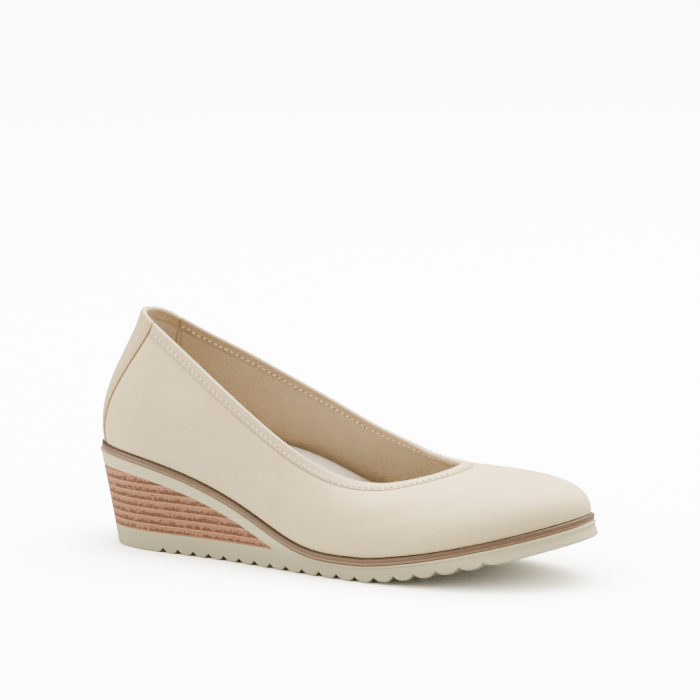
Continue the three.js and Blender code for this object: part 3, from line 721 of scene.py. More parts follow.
    def sock(self):
        """Sock of smooth off-white leather over a soft pad."""
        made, tree, shader, here = finish("sock_leather", 0.55, Specular_IOR_Level=0.35)
        grain = use(tree, self.grain, {"Vector": here, "Size": 1000.0})
        base = use(tree, self.tone, {"Vector": here, "Colour": colour(self.hues.sock), "Drift": 0.06,
                                     "Speckle": 0.04, "Size": 900.0})
        tree.links.new(base["Colour"], shader.inputs["Base Color"])
        relief(tree, shader, grain["Height"], 0.00012, 0.45)
        return made


_finishes = {}


def finish_of(name):
    """A finish by name, made on first use."""
    if not _finishes:
        _finishes["all"] = Finishes(bpy.context.scene.shoe_colours)
    if name not in _finishes:
        _finishes[name] = getattr(_finishes["all"], name)()
    return _finishes[name]


# Shapes of the pieces


def upper_relief(u, v, depth):
    """Soft creases: each a trough across the rib direction with a low ridge above it, in
    millimetres inward."""
    total = np.zeros(np.broadcast(u, v).shape)
    for row, height, long, tall, lean, deep in CREASES:
        du = u - row
        dv = v - height - lean * du
        along = np.exp(-((du / long) ** 2))
        total += deep * along * (np.exp(-((dv / tall) ** 2))
                                 - 0.55 * np.exp(-(((dv - 1.9 * tall) / tall) ** 2)))
    fades = smooth(v / 0.15) * smooth((1 - v) / 0.2)
    return total * depth * fades


def upper_surface(crease):
    """Closed shell of the upper: outer face up from the feather line, under the binding, and
    down the lining."""
    u = np.concatenate([np.linspace(k, k + 1, 28, endpoint=False) for k in range(TURN)])[:, None]
    length = rib_length(u[:, 0])[:, None]
    rows = np.linspace(0, 1, 64)[None, :]
    outer = length + (BINDING_OUTSIDE + 0.75 - length) * rows
    v = share(u, outer)
    deep = backing(u, v) + upper_relief(np.mod(u, TURN), v, crease)
    pull = 0.18 * np.exp(-((outer - BINDING_OUTSIDE - 0.75) / 1.2) ** 2)
    tuck = np.array([[6.3, 0.22], [6.05, BINDING_RECESS], [3.4, BINDING_RECESS], [1.2, BINDING_RECESS],
                     [1.0, 0.9],
                     [1.2, WALL - BINDING_RECESS], [3.4, WALL - BINDING_RECESS], [5.9, WALL - BINDING_RECESS],
                     [6.3, WALL - 0.1]])
    inner_rows = np.linspace(0, 1, 30)[None, :]
    inner = 6.8 + (length - 6.8) * inner_rows
    ones = np.ones_like(u)
    down = np.concatenate([outer, ones * tuck[:, 0], inner], 1)
    depth = np.concatenate([deep + pull * (1 - backing(u, v) / PANEL_SINK), ones * tuck[:, 1],
                            np.full_like(inner, WALL)], 1)
    points = skin(u, down, depth)
    base = outline(u[:, 0], -backing(u, 0.0)[:, 0])
    inside = outline(u[:, 0], np.full(len(u), -WALL))
    foot = feather_height(u[:, 0]) + GAP
    points[:, 0] = np.stack([base[0], base[1], foot], -1)
    points[:, -1] = np.stack([inside[0], inside[1], foot], -1)
    return points, outer.shape[1] + 4


def fold_path():
    """Section of the binding over the collar edge: distance down and depth, from the outside cut
    edge round."""
    outer = np.array([[6.08, 0.20], [6.12, 0.02], [6.04, -0.12], [5.75, -0.16], [5.10, -0.15], [4.40, -0.17],
                      [3.50, -0.24], [2.50, -0.29], [1.60, -0.32], [1.00, -0.32], [0.62, -0.22], [0.34, 0.02],
                      [0.14, 0.38], [0.06, 0.84], [0.12, 1.32], [0.30, 1.74], [0.60, 2.06], [1.00, 2.26],
                      [1.70, 2.36], [2.60, 2.38], [3.40, 2.34], [3.80, 2.28], [4.20, 2.34], [4.80, 2.38],
                      [5.40, 2.34], [5.68, 2.20], [5.74, 1.98], [5.70, 1.72]])
    under = np.array([[4.4, 1.66], [1.5, 1.66], [0.92, 1.45], [0.82, 0.9],
                      [0.92, 0.35], [1.5, 0.12], [4.9, 0.12]])
    return outer, under


def binding_surface(pitch):
    """The fold swept along the topline, drawn in along the stitch line and pricked at the stitch ends."""
    start = seam(1) + 0.03
    u, length = even_rows(start, TURN - start, 3.75, 1300)
    outer, under = fold_path()
    section = np.concatenate([outer, under])
    down = np.broadcast_to(section[:, 0], (len(u), len(section))).copy()
    depth = np.broadcast_to(section[:, 1], down.shape).copy()
    run = np.linspace(0, length, len(u))[:, None]
    count = int(round(length / pitch))
    phase = run / length * count
    prick = np.exp(-(((phase - np.round(phase)) * length / count / 0.42) ** 2))
    out_row = np.exp(-(((down - 4.60) / 0.45) ** 2)) * (depth < 0.3) * (down > 3.6)
    in_row = np.exp(-(((down - 3.80) / 0.40) ** 2)) * (depth > 2)
    depth = depth + out_row * (0.05 + 0.20 * prick) - in_row * (0.04 + 0.18 * prick)
    puff = 0.03 * np.cos(2 * np.pi * phase)
    depth = depth + puff * np.exp(-(((down - 2.4) / 1.2) ** 2)) * np.where(depth < 0.3, 1, -1)
    points = skin(u[:, None], down, depth)
    where = np.arange(len(section))
    # rim: the rolled edge of the fold, where the painted highlight goes
    rim = np.exp(-(((where - 11.4) / 1.5) ** 2)) * (where < len(outer))
    inside = smooth((where - 12.4) / 2.0) * (where < len(outer) + 1)
    cut = np.isin(where, (0, 26, 27, 28, len(section) - 1)).astype(float)
    cut[1:3] = 1.0, 0.45
    wide = np.ones_like(run)
    # hole: the stitch pricks, where painted shade goes
    tints = {"rim": wide * rim, "inside": wide * inside, "cut": wide * cut,
             "hole_shade": (out_row + in_row) * prick * 0.55}
    return points, tints


def stitches(start, end, down, depth, pitch, long, thick, slant, lift):
    """A row of stitches: each a short slanted arc that rises out of the leather and dives back."""
    _, length = even_rows(start, end, down, 3)
    count = int(round(length / pitch))
    middle, _ = even_rows(start, end, down, 2 * count + 1)
    middle = middle[1::2]
    s = np.linspace(-0.5, 0.5, 9)[None, :]
    per_mm = np.gradient(middle)[:, None] / (length / count)
    u = middle[:, None] + s * long * per_mm
    drop = down + s * slant
    rise = lift * np.sqrt(np.maximum(0, 1 - (2 * s) ** 2)) - 0.22 * (2 * np.abs(s)) ** 4
    sign = 1.0 if depth < 1 else -1.0
    v = share(u, drop + np.zeros_like(u))
    normal = facing(u, v)
    path = rib(u, v) - normal * (depth - sign * rise)[..., None]
    radius = thick * (1 - 0.45 * (2 * np.abs(s)) ** 3) + np.zeros_like(u)
    points, quads, ends = tubes(path, normal * sign, radius, 0.8)
    return points, quads, ends


def join(parts):
    """Several point grids with faces and ends as one."""
    points, quads, ends, base = [], [], [], 0
    for p, q, e in parts:
        points.append(p.reshape(-1, 3))
        quads.append(q + base)
        ends.extend([x + base for x in e])
        base += len(points[-1])
    return np.concatenate(points), np.concatenate(quads), ends


def panel_surface(gather):
    """Back panel swept across the heel, its top edge gathered and its seams raised."""
    t = np.linspace(-1, 1, 260)[:, None]
    edge_row = t * seam(1)
    outer, under = fold_path()
    rows = np.linspace(0, 1, 110)[None, :]
    length = rib_length((t * seam(0))[:, 0])[:, None] - GAP
    down_side = length + (5.8 - length) * rows
    fold = outer[4:]
    back = np.concatenate([under[:-1], [[4.4, 0.12]]])
    back_side = 4.6 + (length - 4.6) * np.linspace(0, 1, 12)[None, :]
    ones = np.ones_like(t)
    down = np.concatenate([down_side, ones * fold[:, 0], ones * back[:, 0], back_side], 1)
    v = share(edge_row, down)
    u = t * seam(v)
    near = np.exp(-((1 - np.abs(t)) / 0.10))
    wave = np.sin(u * 23.0 + 1.3 * np.sin(down * 0.21)) + 0.7 * np.sin(u * 41.0 + down * 0.12)
    high = np.exp(-(down / 9.0))
    pucker = 0.5 * near * np.sin(down * 1.75 + 2.0 * t)
    raised = 0.34 * np.exp(-(((np.abs(t) - 0.90) / 0.05) ** 2))
    front = np.concatenate([np.ones(rows.size), 1 - smooth((np.arange(len(fold)) - 4) / 4.0)])
    front = np.concatenate([front, np.zeros(len(back) + 12)])
    base = np.concatenate([np.zeros(rows.size), fold[:, 1], back[:, 1], np.zeros(12)])
    level = smooth((8.5 - down) / 5.0)
    depth = ones * base
    depth[:, :rows.size] = -0.42 * level[:, :rows.size] * 0.9
    sunk = backing(u[:, -12:], v[:, -12:]) - GAP * 0.6
    depth[:, -12:] = sunk
    depth = depth - front * (gather * 0.21 * high * wave + 0.18 * gather * pucker + raised)
    down = down - (front > 0.02) * 0.45 * gather * high * np.cos(u * 17.0) * smooth((4.0 - down) / 4.0)
    points = skin(u, np.maximum(down, -1), depth)
    where = np.arange(down.shape[1])
    inside = smooth((where - rows.size - 11) / 3.0) * (where < rows.size + len(fold) + 1)
    cut = (np.abs(where - rows.size - len(fold)) < 2).astype(float)
    return points, {"drop": down, "inside": ones * inside, "cut": ones * cut}


def seam_lines(radius):
    """Two cords along the back panel's seams, and two finer ones down the lining behind them."""
    parts = []
    for sign in (-1, 1):
        for depth, size, reach, set_out in ((0.10, radius, 1.0, 0.030), (WALL + 0.08, 0.24, 0.9, 0.0),
                                            (WALL + 0.05, 0.18, 0.9, 0.11)):
            length = float(rib_length(np.array([sign * seam(0.5)]))[0])
            down = np.linspace(0.9 if depth < 1 else 6.2, length * reach, 240)
            v = share(np.full_like(down, sign * seam(1)), down)
            u = sign * (seam(v) + set_out)
            normal = facing(u, v)
            path = rib(u, v) - normal * depth
            wave = 1 + 0.10 * np.sin(down * 3.1)
            parts.append(tubes(path[None], normal[None], (size * wave)[None], 0.9, 10))
    return join(parts)


def welt_surface():
    """The welt's section, rounded at its outer edges, swept round the feather line."""
    section = np.array([[-1.8, -0.02], [-0.4, -0.02], [0.5, -0.02], [0.95, -0.06], [1.25, -0.20],
                        [1.47, -0.45],
                        [1.60, -0.80], [1.64, -1.20], [1.62, -1.65], [1.50, -1.90], [1.56, -2.15],
                        [1.66, -2.45],
                        [1.62, -2.80], [1.42, -3.02], [1.10, -3.1], [-0.4, -3.1], [-1.8, -3.1]])
    u = np.linspace(0, TURN, 620, endpoint=False)[:, None]
    x, y = outline(u, section[None, :, 0] + 0 * u)
    z = feather_height(u) + section[None, :, 1]
    return np.stack([x, y, z], -1), {"rise": np.ones_like(u) * (1 + section[:, 1] / WELT_HEIGHT)}


def side_line(u):
    """Ends of the straight side of the sole at each row: under the bead, and just above the tread."""
    x1, y1 = outline(u, SOLE_MARGIN + 0 * u)
    z1 = feather_height(u) + SOLE_TOP - BEAD_HEIGHT - BEAD * 0.8
    x2, y2 = outline(u, tread_margin(CURVES["along"](u)))
    z2 = ground(x2) + TREAD_EDGE
    return np.stack([x1, y1, z1], -1), np.stack([x2, y2, z2], -1)


def on_side(u, height):
    """Point of the sole's side at a height: on the straight line between its two ends."""
    top, low = side_line(u)
    part = (top[..., 2] - height) / (top[..., 2] - low[..., 2])
    return top + (low - top) * part[..., None]


def band_edge(u):
    """Point of the sole's side where the underside of the band meets it, by halving the span."""
    top, low = side_line(u)
    near, far = np.zeros_like(u), np.ones_like(u)
    for _ in range(36):
        middle = (near + far) / 2
        p = top + (low - top) * middle[..., None]
        above = p[..., 2] > band_under(p[..., 0], p[..., 1])
        near, far = np.where(above, middle, near), np.where(above, far, middle)
    return top + (low - top) * near[..., None]


def wedge_end(height, inner, drop=GAP):
    """Row number where the side at a height meets the band's underside less a drop, by halving the span."""
    height = np.asarray(height, float)
    near, far = np.full(height.shape, 0.1), np.full(height.shape, 7.5)
    for _ in range(44):
        middle = (near + far) / 2
        u = TURN - middle if inner else middle
        p = on_side(u, height)
        under = band_under(p[..., 0], p[..., 1]) - drop > height
        near, far = np.where(under, middle, near), np.where(under, far, middle)
    return TURN - near if inner else near


def paired_rows(share_along, tips):
    """Row numbers of the outer and inner side at the same share of the length, meeting at the
    wedge's tips."""
    dense = np.linspace(-1, TURN - 1, 6000)
    x = CURVES["along"](dense)
    back = dense[np.argmin(np.where(np.abs(dense) < 1, x, 1e9))]
    toe = dense[np.argmax(x)]
    low, high = CURVES["along"](np.array(back)), CURVES["along"](np.array(toe))
    wanted = low + (high - low) * (1 - np.cos(np.pi * share_along)) / 2
    tip_x = [float(CURVES["along"](np.array(t))) for t in tips]
    tip_share = np.arccos(1 - 2 * (tip_x[0] - low) / (high - low)) / np.pi
    ahead = (tip_x[1] - tip_x[0]) * np.exp(-(((share_along - tip_share) / 0.15) ** 2))
    ahead *= smooth(share_along / 0.08) * smooth((1 - share_along) / 0.08)
    side = np.linspace(back, toe, 3000)
    outer = np.interp(wanted, CURVES["along"](side), side)
    side = np.linspace(toe, TURN + back, 3000)[::-1]
    inner = np.interp(wanted + ahead, CURVES["along"](side), side)
    return outer, inner, float(tip_share)


def across(outer_point, inner_point, count):
    """Points between the two sides, from the outer one to the inner one, without the ends."""
    t = np.linspace(0, 1, count + 2)[1:-1]
    return outer_point[:, None] + (inner_point - outer_point)[:, None] * t[None, :, None]


def ruled(first, second, count, skip=False):
    """Points from one end to the other of each side line."""
    t = np.linspace(0, 1, count)
    t = t[1:] if skip else t
    return first[:, None] + (second - first)[:, None] * t[None, :, None]


def tread_foot(u, depth):
    """Side and bottom edge of the tread: the side line cut at the notch height and rounded under."""
    low = side_line(u)[1]
    rise = notch_rise(low[..., 0], depth)
    radius = TREAD_EDGE - 0.2 * rise
    height = low[..., 2] - TREAD_EDGE + rise
    start = on_side(u, height + radius)
    nx, ny = outward(u)
    turn = np.radians(np.array([22.5, 45, 67.5, 90]))
    inset = radius[:, None] * (1 - np.cos(turn))
    x = start[:, None, 0] - nx[:, None] * inset
    y = start[:, None, 1] - ny[:, None] * inset
    z = start[:, None, 2] - radius[:, None] * np.sin(turn)
    return start, np.stack([x, y, z], -1)


def sole_sections(u_outer, u_inner, front, depth):
    """Closed sections of the sole: top, outer side, bottom and inner side, in the forepart or
    over the wedge."""
    sides, marks = [], []
    bead = np.array([[SOLE_MARGIN - 0.25, 0], [SOLE_MARGIN + 0.22, -0.05], [SOLE_MARGIN + 0.45, -0.25],
                     [SOLE_MARGIN + BEAD, -0.60], [SOLE_MARGIN + 0.42, -1.00], [SOLE_MARGIN + 0.16, -1.22],
                     [SOLE_MARGIN - 0.02, -1.36]])
    for u in (u_outer, u_inner):
        x, y = outline(u[:, None], bead[None, :, 0] + 0 * u[:, None])
        z = feather_height(u)[:, None] + SOLE_TOP + bead[None, :, 1]
        rim = np.stack([x, y, z], -1)
        top, _ = side_line(u)
        if front:
            start, foot = tread_foot(u, depth)
        else:
            start = band_edge(u)
            nx, ny = outward(u)
            foot = (start[:, None] - np.stack([nx, ny, 0 * nx], -1)[:, None]
                    * np.array([0.5, 1.2, 2, 3])[None, :, None])
            foot[..., 2] = np.maximum(band_under(foot[..., 0], foot[..., 1]), SLAB)
        sides.append(np.concatenate([rim, ruled(top, start, 16), foot], 1))
        marks.append(np.concatenate([np.zeros(7 + 16), np.linspace(0.25, 1, 4)]))
    outer, inner = sides
    roof = across(inner[:, 0], outer[:, 0], 6)
    roof[..., 2] = bed(roof[..., 0], roof[..., 1]) + SOLE_TOP
    floor = across(outer[:, -1], inner[:, -1], 36)
    if front:
        floor[..., 2] = ground(floor[..., 0]) + notch_rise(floor[..., 0], depth)
    else:
        floor[..., 2] = np.maximum(band_under(floor[..., 0], floor[..., 1]), SLAB)
    points = np.concatenate([roof, outer, floor, inner[:, ::-1]], 1)
    mark = np.concatenate([np.zeros(6), marks[0], np.ones(36), marks[1][::-1]])
    return points, np.ones((len(points), 1)) * mark * float(front)


def sole_surface(depth):
    """Band and forepart in one: sections over the wedge, a step at its tips, then full sections
    to the toe."""
    tips = (float(wedge_end(SLAB, False, 0.0)), float(wedge_end(SLAB, True, 0.0)))
    _, _, tip = paired_rows(np.array([0.5]), tips)
    heel = np.concatenate([np.linspace(0, tip, 260)])
    fore = np.linspace(tip, 1, 470)
    back_rows = paired_rows(heel, tips)
    fore_rows = paired_rows(fore, tips)
    back_part, back_mark = sole_sections(back_rows[0], back_rows[1], False, depth)
    fore_part, fore_mark = sole_sections(fore_rows[0], fore_rows[1], True, depth)
    return np.concatenate([back_part, fore_part]), np.concatenate([back_mark, fore_mark]), back_rows


def slab_surface(rows, depth):
    """Heel slab: sections from the wedge's lowest lift down to the tread, capped at the tips."""
    sides = []
    for u in rows[:2]:
        edge = on_side(u, np.full_like(u, SLAB))
        start, foot = tread_foot(u, depth)
        sides.append(np.concatenate([ruled(edge, start, 12), foot], 1))
    outer, inner = sides
    roof = across(inner[:, 0], outer[:, 0], 6)
    floor = across(outer[:, -1], inner[:, -1], 36)
    floor[..., 2] = ground(floor[..., 0]) + notch_rise(floor[..., 0], depth)
    points = np.concatenate([roof, outer, floor, inner[:, ::-1]], 1)
    side_mark = np.concatenate([np.zeros(12), np.linspace(0.25, 1, 4)])
    mark = np.concatenate([np.zeros(6), side_mark, np.ones(36), side_mark[::-1]])
    return points, np.ones((len(points), 1)) * mark


def lift_surface(k, groove, pit):
    """One lift of the wedge: sides that lean with the sole, grooved at the foot, roughened by worn pits."""
    low = SLAB + LIFT_PITCH * k + 0.06
    high = SLAB + LIFT_PITCH * (k + 1) - 0.02
    level = np.array([0, 0.03, 0.08, 0.14, 0.22, 0.32, 0.42, 0.52, 0.62, 0.72, 0.80, 0.87, 0.93, 0.98, 1.0])
    height = low + (high - low) * level
    back = paired_rows(np.array([0.0]), (4.0, 15.0))[0][0]
    ends = wedge_end(height, False, 0.05), wedge_end(height, True, 0.05)
    a = np.linspace(0, 1, 230)
    sides = []
    for side, end in enumerate(ends):
        goal = end if side == 0 else end - TURN
        u = back + a[:, None] * (goal[None, :] - back)
        p = on_side(u, height[None, :] + 0 * u)
        nx, ny = outward(u)
        shape = 0.05 - groove * np.exp(-(level / 0.12) ** 2) - 0.10 * smooth((0.60 - level) / 0.3)
        shape = shape + 0.10 * np.exp(-(((level - 0.93) / 0.05) ** 2)) - 0.08 * smooth((level - 0.965) / 0.03)
        seed = 11.3 * k + 5.1 * side
        run = u * 14.0
        rough = (np.sin(run * 2.3 + seed + 3 * level) * np.sin(run * 5.9 + 2 * seed + 7 * level)
                 + 0.7 * np.sin(run * 11.7 + seed * 3 + 5 * level) * np.sin(run * 3.1 + 9 * level))
        worn = np.exp(-(((level - 0.34) / 0.22) ** 2)) * pit * rough
        push = (shape[None, :] + worn) * smooth(a[:, None] * 60 + 1)
        fade = np.minimum(1, (1 - a[:, None]) * 40)
        push = push * fade - 0.05 * (1 - fade)
        p[..., 0] += nx * push
        p[..., 1] += ny * push
        sides.append(p)
    outer, inner = sides
    roof = across(inner[:, -1], outer[:, -1], 5)
    floor = across(outer[:, 0], inner[:, 0], 5)
    points = np.concatenate([roof, outer[:, ::-1], floor, inner], 1)
    mark = np.concatenate([np.ones(5), level[::-1], np.zeros(5), level]) * np.ones((len(points), 1))
    return points, {"level": mark, "glued": smooth((0.18 - mark) / 0.07) * float(k == 0)}


def insole_surface():
    """Padded insole: crowned under the arch, dished at the heel, its edge rolled down beside the lining."""
    share_along = np.linspace(0, 1, 320)
    outer_u, inner_u, _ = paired_rows(share_along, (4.5, 14.5))

    def height(x, y):
        arch = ARCH_SUPPORT * smooth(y / LAST_WIDTH / 0.44 + 0.22) * swell(x, 0.42, 0.22)
        dish = 0.7 * swell(x, 0.14, 0.10) * np.exp(-((y / 16.0) ** 2))
        pad = 0.5 * swell(x, 0.66, 0.07) * np.exp(-(((y - 2) / 15.0) ** 2))
        return bed(x, y) + INSOLE + arch - dish + pad
    margin = -WALL - 2 * GAP
    ring = np.array([[-2.6, 0.0], [-1.7, -0.16], [-1.0, -0.55], [-0.55, -1.2], [-0.42, -2.0], [-0.2, -3.4]])
    sides = []
    for u in (outer_u, inner_u):
        x, y = outline(u[:, None], margin + ring[None, :, 0] + 0 * u[:, None])
        z = height(x, y) + ring[None, :, 1]
        base = outline(u, np.full_like(u, margin))
        under = np.stack([base[0], base[1], feather_height(u) - WELT_HEIGHT], -1)
        sides.append(np.concatenate([np.stack([x, y, z], -1), under[:, None]], 1))
    outer, inner = sides
    roof = across(inner[:, 0], outer[:, 0], 40)
    roof[..., 2] = height(roof[..., 0], roof[..., 1])
    floor = across(outer[:, -1], inner[:, -1], 6)
    floor[..., 2] = bed(floor[..., 0], floor[..., 1]) - WELT_HEIGHT
    return np.concatenate([roof, outer, floor, inner[:, ::-1]], 1)


# Sizes and colours a user would change


class ShoeSizes(bpy.types.PropertyGroup):
    """Sizes of the sewn, gathered and worn details."""

    stitch_pitch: FloatProperty(name="Stitch pitch", description="Distance from stitch to stitch",
                                default=0.0029, min=0.001, unit="LENGTH")
    stitch_length: FloatProperty(name="Stitch length", description="Length of one stitch on the surface",
                                 default=0.0023, min=0.0005, unit="LENGTH")
    thread_radius: FloatProperty(name="Thread radius", description="Half the thickness of the thread",
                                 default=0.00040, min=0.0001, unit="LENGTH")
    seam_radius: FloatProperty(name="Seam radius", description="Half the thickness of the back seam's cord",
                               default=0.00036, min=0.0001, unit="LENGTH")
    crease_depth: FloatProperty(name="Crease depth",
                                description="Share of the full depth of the upper's creases",
                                default=1.0, min=0.0, max=3.0, subtype="FACTOR")
    gather_depth: FloatProperty(name="Gather depth",
                                description="Share of the full gathers of the back panel",
                                default=1.0, min=0.0, max=3.0, subtype="FACTOR")
    notch_depth: FloatProperty(name="Notch depth", description="Depth of the ripples of the tread",
                               default=0.0025, min=0.0, unit="LENGTH")
    lift_groove: FloatProperty(name="Lift groove", description="Depth of the groove at the foot of each lift",
                               default=0.00035, min=0.0, unit="LENGTH")
    pit_depth: FloatProperty(name="Pit depth", description="Depth of the worn pits in the stacked lifts",
                             default=0.00009, min=0.0, unit="LENGTH")


def hue(label, value):
    """Colour property with a name and a screen colour."""
    return FloatVectorProperty(name=label, description="Screen colour of the " + label.lower(), default=value,
                               size=3, min=0.0, max=1.0, subtype="COLOR_GAMMA")


class ShoeColours(bpy.types.PropertyGroup):
    """Colours of the shoe's finishes."""

    nubuck: hue("Upper", (0.919, 0.855, 0.707))
    lining: hue("Lining", (0.715, 0.647, 0.552))
    binding: hue("Binding outside", (0.890, 0.812, 0.668))
    # binding inside: the binding's cream darkened as painted shade inside the collar
    binding_inside_shaded: hue("Binding inside", (0.672, 0.572, 0.456))
    panel: hue("Back panel", (0.850, 0.755, 0.600))
    seam: hue("Back seam", (0.600, 0.480, 0.350))
    cut_edge: hue("Cut edge", (0.600, 0.480, 0.350))
    thread: hue("Thread", (0.975, 0.945, 0.875))
    welt: hue("Welt", (0.428, 0.331, 0.272))
    # paler bevel colour: painted highlight from light off the floor
    welt_bevel_highlight: hue("Welt bevel", (0.590, 0.475, 0.395))
    sole: hue("Sole", (0.835, 0.808, 0.685))
    wedge: hue("Stacked wedge", (0.678, 0.490, 0.398))
    wedge_line: hue("Lift line", (0.800, 0.555, 0.415))
    wedge_pit: hue("Lift pits", (0.390, 0.280, 0.235))
    sock: hue("Sock", (0.935, 0.900, 0.850))


class ShoeView(bpy.types.PropertyGroup):
    """Place of the camera round the shoe."""

    azimuth: FloatProperty(name="Azimuth", description="Turn of the camera round the shoe",
                           default=float(np.radians(28.02)), subtype="ANGLE")
    elevation: FloatProperty(name="Elevation", description="Height of the camera as an angle",
                             default=float(np.radians(11.17)), subtype="ANGLE")
    distance: FloatProperty(name="Distance", description="Distance from the middle of the shoe",
                            default=2.3007, min=0.3, unit="LENGTH")
    lens: FloatProperty(name="Focal length", description="Focal length on a 36 mm wide sensor",
                        default=258.73, min=10.0)


# Operators


def mm(value):
    """Metres to millimetres."""
    return value * 1000.0


class SHOE_OT_upper(bpy.types.Operator):
    """Build the nubuck upper with its lining as one shell"""

    bl_idname = "shoe.upper"
    bl_label = "Upper"

    def execute(self, context):
        points, outside = upper_surface(context.scene.shoe_sizes.crease_depth)
        quads = grid_faces(*points.shape[:2], True)
        column = np.tile(np.arange(points.shape[1]), points.shape[0])
        piece("upper_nubuck", points, quads, [finish_of("nubuck"), finish_of("lining")], ("upper",),
              finish=(column >= outside).astype(int))
        return {"FINISHED"}


class SHOE_OT_binding(bpy.types.Operator):
    """Build the strip folded over the collar edge"""

    bl_idname = "shoe.binding"
    bl_label = "Collar binding"

    def execute(self, context):
        points, tints = binding_surface(mm(context.scene.shoe_sizes.stitch_pitch))
        rows, columns = points.shape[:2]
        ends = [np.arange(columns), np.arange(columns) + (rows - 1) * columns]
        piece("binding_strip", points, grid_faces(rows, columns, False), [finish_of("binding")],
              ("collar_binding",), ends=ends, tints=tints)
        return {"FINISHED"}


class SHOE_OT_stitching(bpy.types.Operator):
    """Sew the two rows of stitches through the binding"""

    bl_idname = "shoe.stitching"
    bl_label = "Stitching"

    def execute(self, context):
        sizes = context.scene.shoe_sizes
        start = seam(1) + 0.03
        pitch, long, thick = mm(sizes.stitch_pitch), mm(sizes.stitch_length), mm(sizes.thread_radius)
        rows = [
            ("stitches_outside", stitches(start, TURN - start, 4.60, -0.12, pitch, long * 0.78,
                                          thick * 0.95, 0.85, 0.36)),
            ("stitches_inside", stitches(start, TURN - start, 3.80, 2.26, pitch, long * 0.85,
                                         thick * 0.9, 0.2, 0.24)),
        ]
        for name, (points, quads, ends) in rows:
            count, steps, sides = points.shape[:3]
            twist = np.arange(steps)[None, :, None] * 0.5 + np.arange(sides)[None, None, :] / sides
            piece(name, points, quads, [finish_of("thread")], ends=ends,
                  tints={"twist": np.broadcast_to(twist, (count, steps, sides))})
        return {"FINISHED"}


class SHOE_OT_back_panel(bpy.types.Operator):
    """Build the gathered panel round the back of the heel and its seam cords"""

    bl_idname = "shoe.back_panel"
    bl_label = "Back panel"

    def execute(self, context):
        sizes = context.scene.shoe_sizes
        points, tints = panel_surface(sizes.gather_depth)
        rows, columns = points.shape[:2]
        ends = [np.arange(columns), np.arange(columns) + (rows - 1) * columns]
        piece("heel_panel", points, grid_faces(rows, columns, False), [finish_of("panel")],
              ("back_panel",), ends=ends, tints=tints)
        points, quads, ends = seam_lines(mm(sizes.seam_radius))
        piece("heel_seams", points, quads, [finish_of("seam_cord")], ends=ends)
        return {"FINISHED"}


class SHOE_OT_welt(bpy.types.Operator):
    """Build the painted welt between upper and sole"""

    bl_idname = "shoe.welt"
    bl_label = "Welt"

    def execute(self, context):
        points, tints = welt_surface()
        piece("welt_strip", points, grid_faces(*points.shape[:2], True), [finish_of("welt")],
              ("welt",),
              tints=tints, sharp=1.2)
        return {"FINISHED"}


class SHOE_OT_sole(bpy.types.Operator):
    """Build the moulded sole: band and forepart with the bead and ripples, and the heel slab"""

    bl_idname = "shoe.sole"
    bl_label = "Sole"

    def execute(self, context):
        depth = mm(context.scene.shoe_sizes.notch_depth)
        points, marks, rows = sole_surface(depth)
        rubber = [finish_of("rubber")]
        piece("sole_band", points, grid_faces(*points.shape[:2], False), rubber, ("sole_unit",),
              tints={"tread": marks}, sharp=0.7)
        points, marks = slab_surface(rows, depth)
        count, columns = points.shape[:2]
        piece("heel_slab", points, grid_faces(count, columns, False), rubber,
              ends=[np.arange(columns) + (count - 1) * columns], tints={"tread": marks}, sharp=0.7)
        return {"FINISHED"}


class SHOE_OT_lifts(bpy.types.Operator):
    """Build the stacked lifts of the wedge"""

    bl_idname = "shoe.lifts"
    bl_label = "Wedge lifts"

    def execute(self, context):
        sizes = context.scene.shoe_sizes
        for k in range(LIFTS):
            points, tints = lift_surface(k, mm(sizes.lift_groove), mm(sizes.pit_depth))
            count, columns = points.shape[:2]
            piece(f"wedge_lift_{k + 1}", points, grid_faces(count, columns, False),
                  [finish_of("stacked")],
                  (f"lift_{k + 1}",), ends=[np.arange(columns) + (count - 1) * columns],
                  tints=tints, sharp=1.0)
        return {"FINISHED"}


class SHOE_OT_insole(bpy.types.Operator):
    """Build the padded insole with its leather sock"""

    bl_idname = "shoe.insole"
    bl_label = "Insole"

    def execute(self, context):
        points = insole_surface()
        made = piece("insole_pad", points, grid_faces(*points.shape[:2], False), [finish_of("sock")],
                     ("insole",), sharp=1.2)
        return {"FINISHED"}


def softbox(name, place, aim, size, power):
    """Square area light at a place, turned towards a point."""
    data = bpy.data.lights.new(name, "AREA")
    data.shape = "SQUARE"
    data.size = size
    data.energy = power
    data.color = (1.0, 0.93, 0.76)
    light = bpy.data.objects.new(name, data)
    light.location = place
    light.rotation_euler = (Vector(aim) - Vector(place)).to_track_quat("-Z", "Y").to_euler()
    bpy.context.scene.collection.objects.link(light)


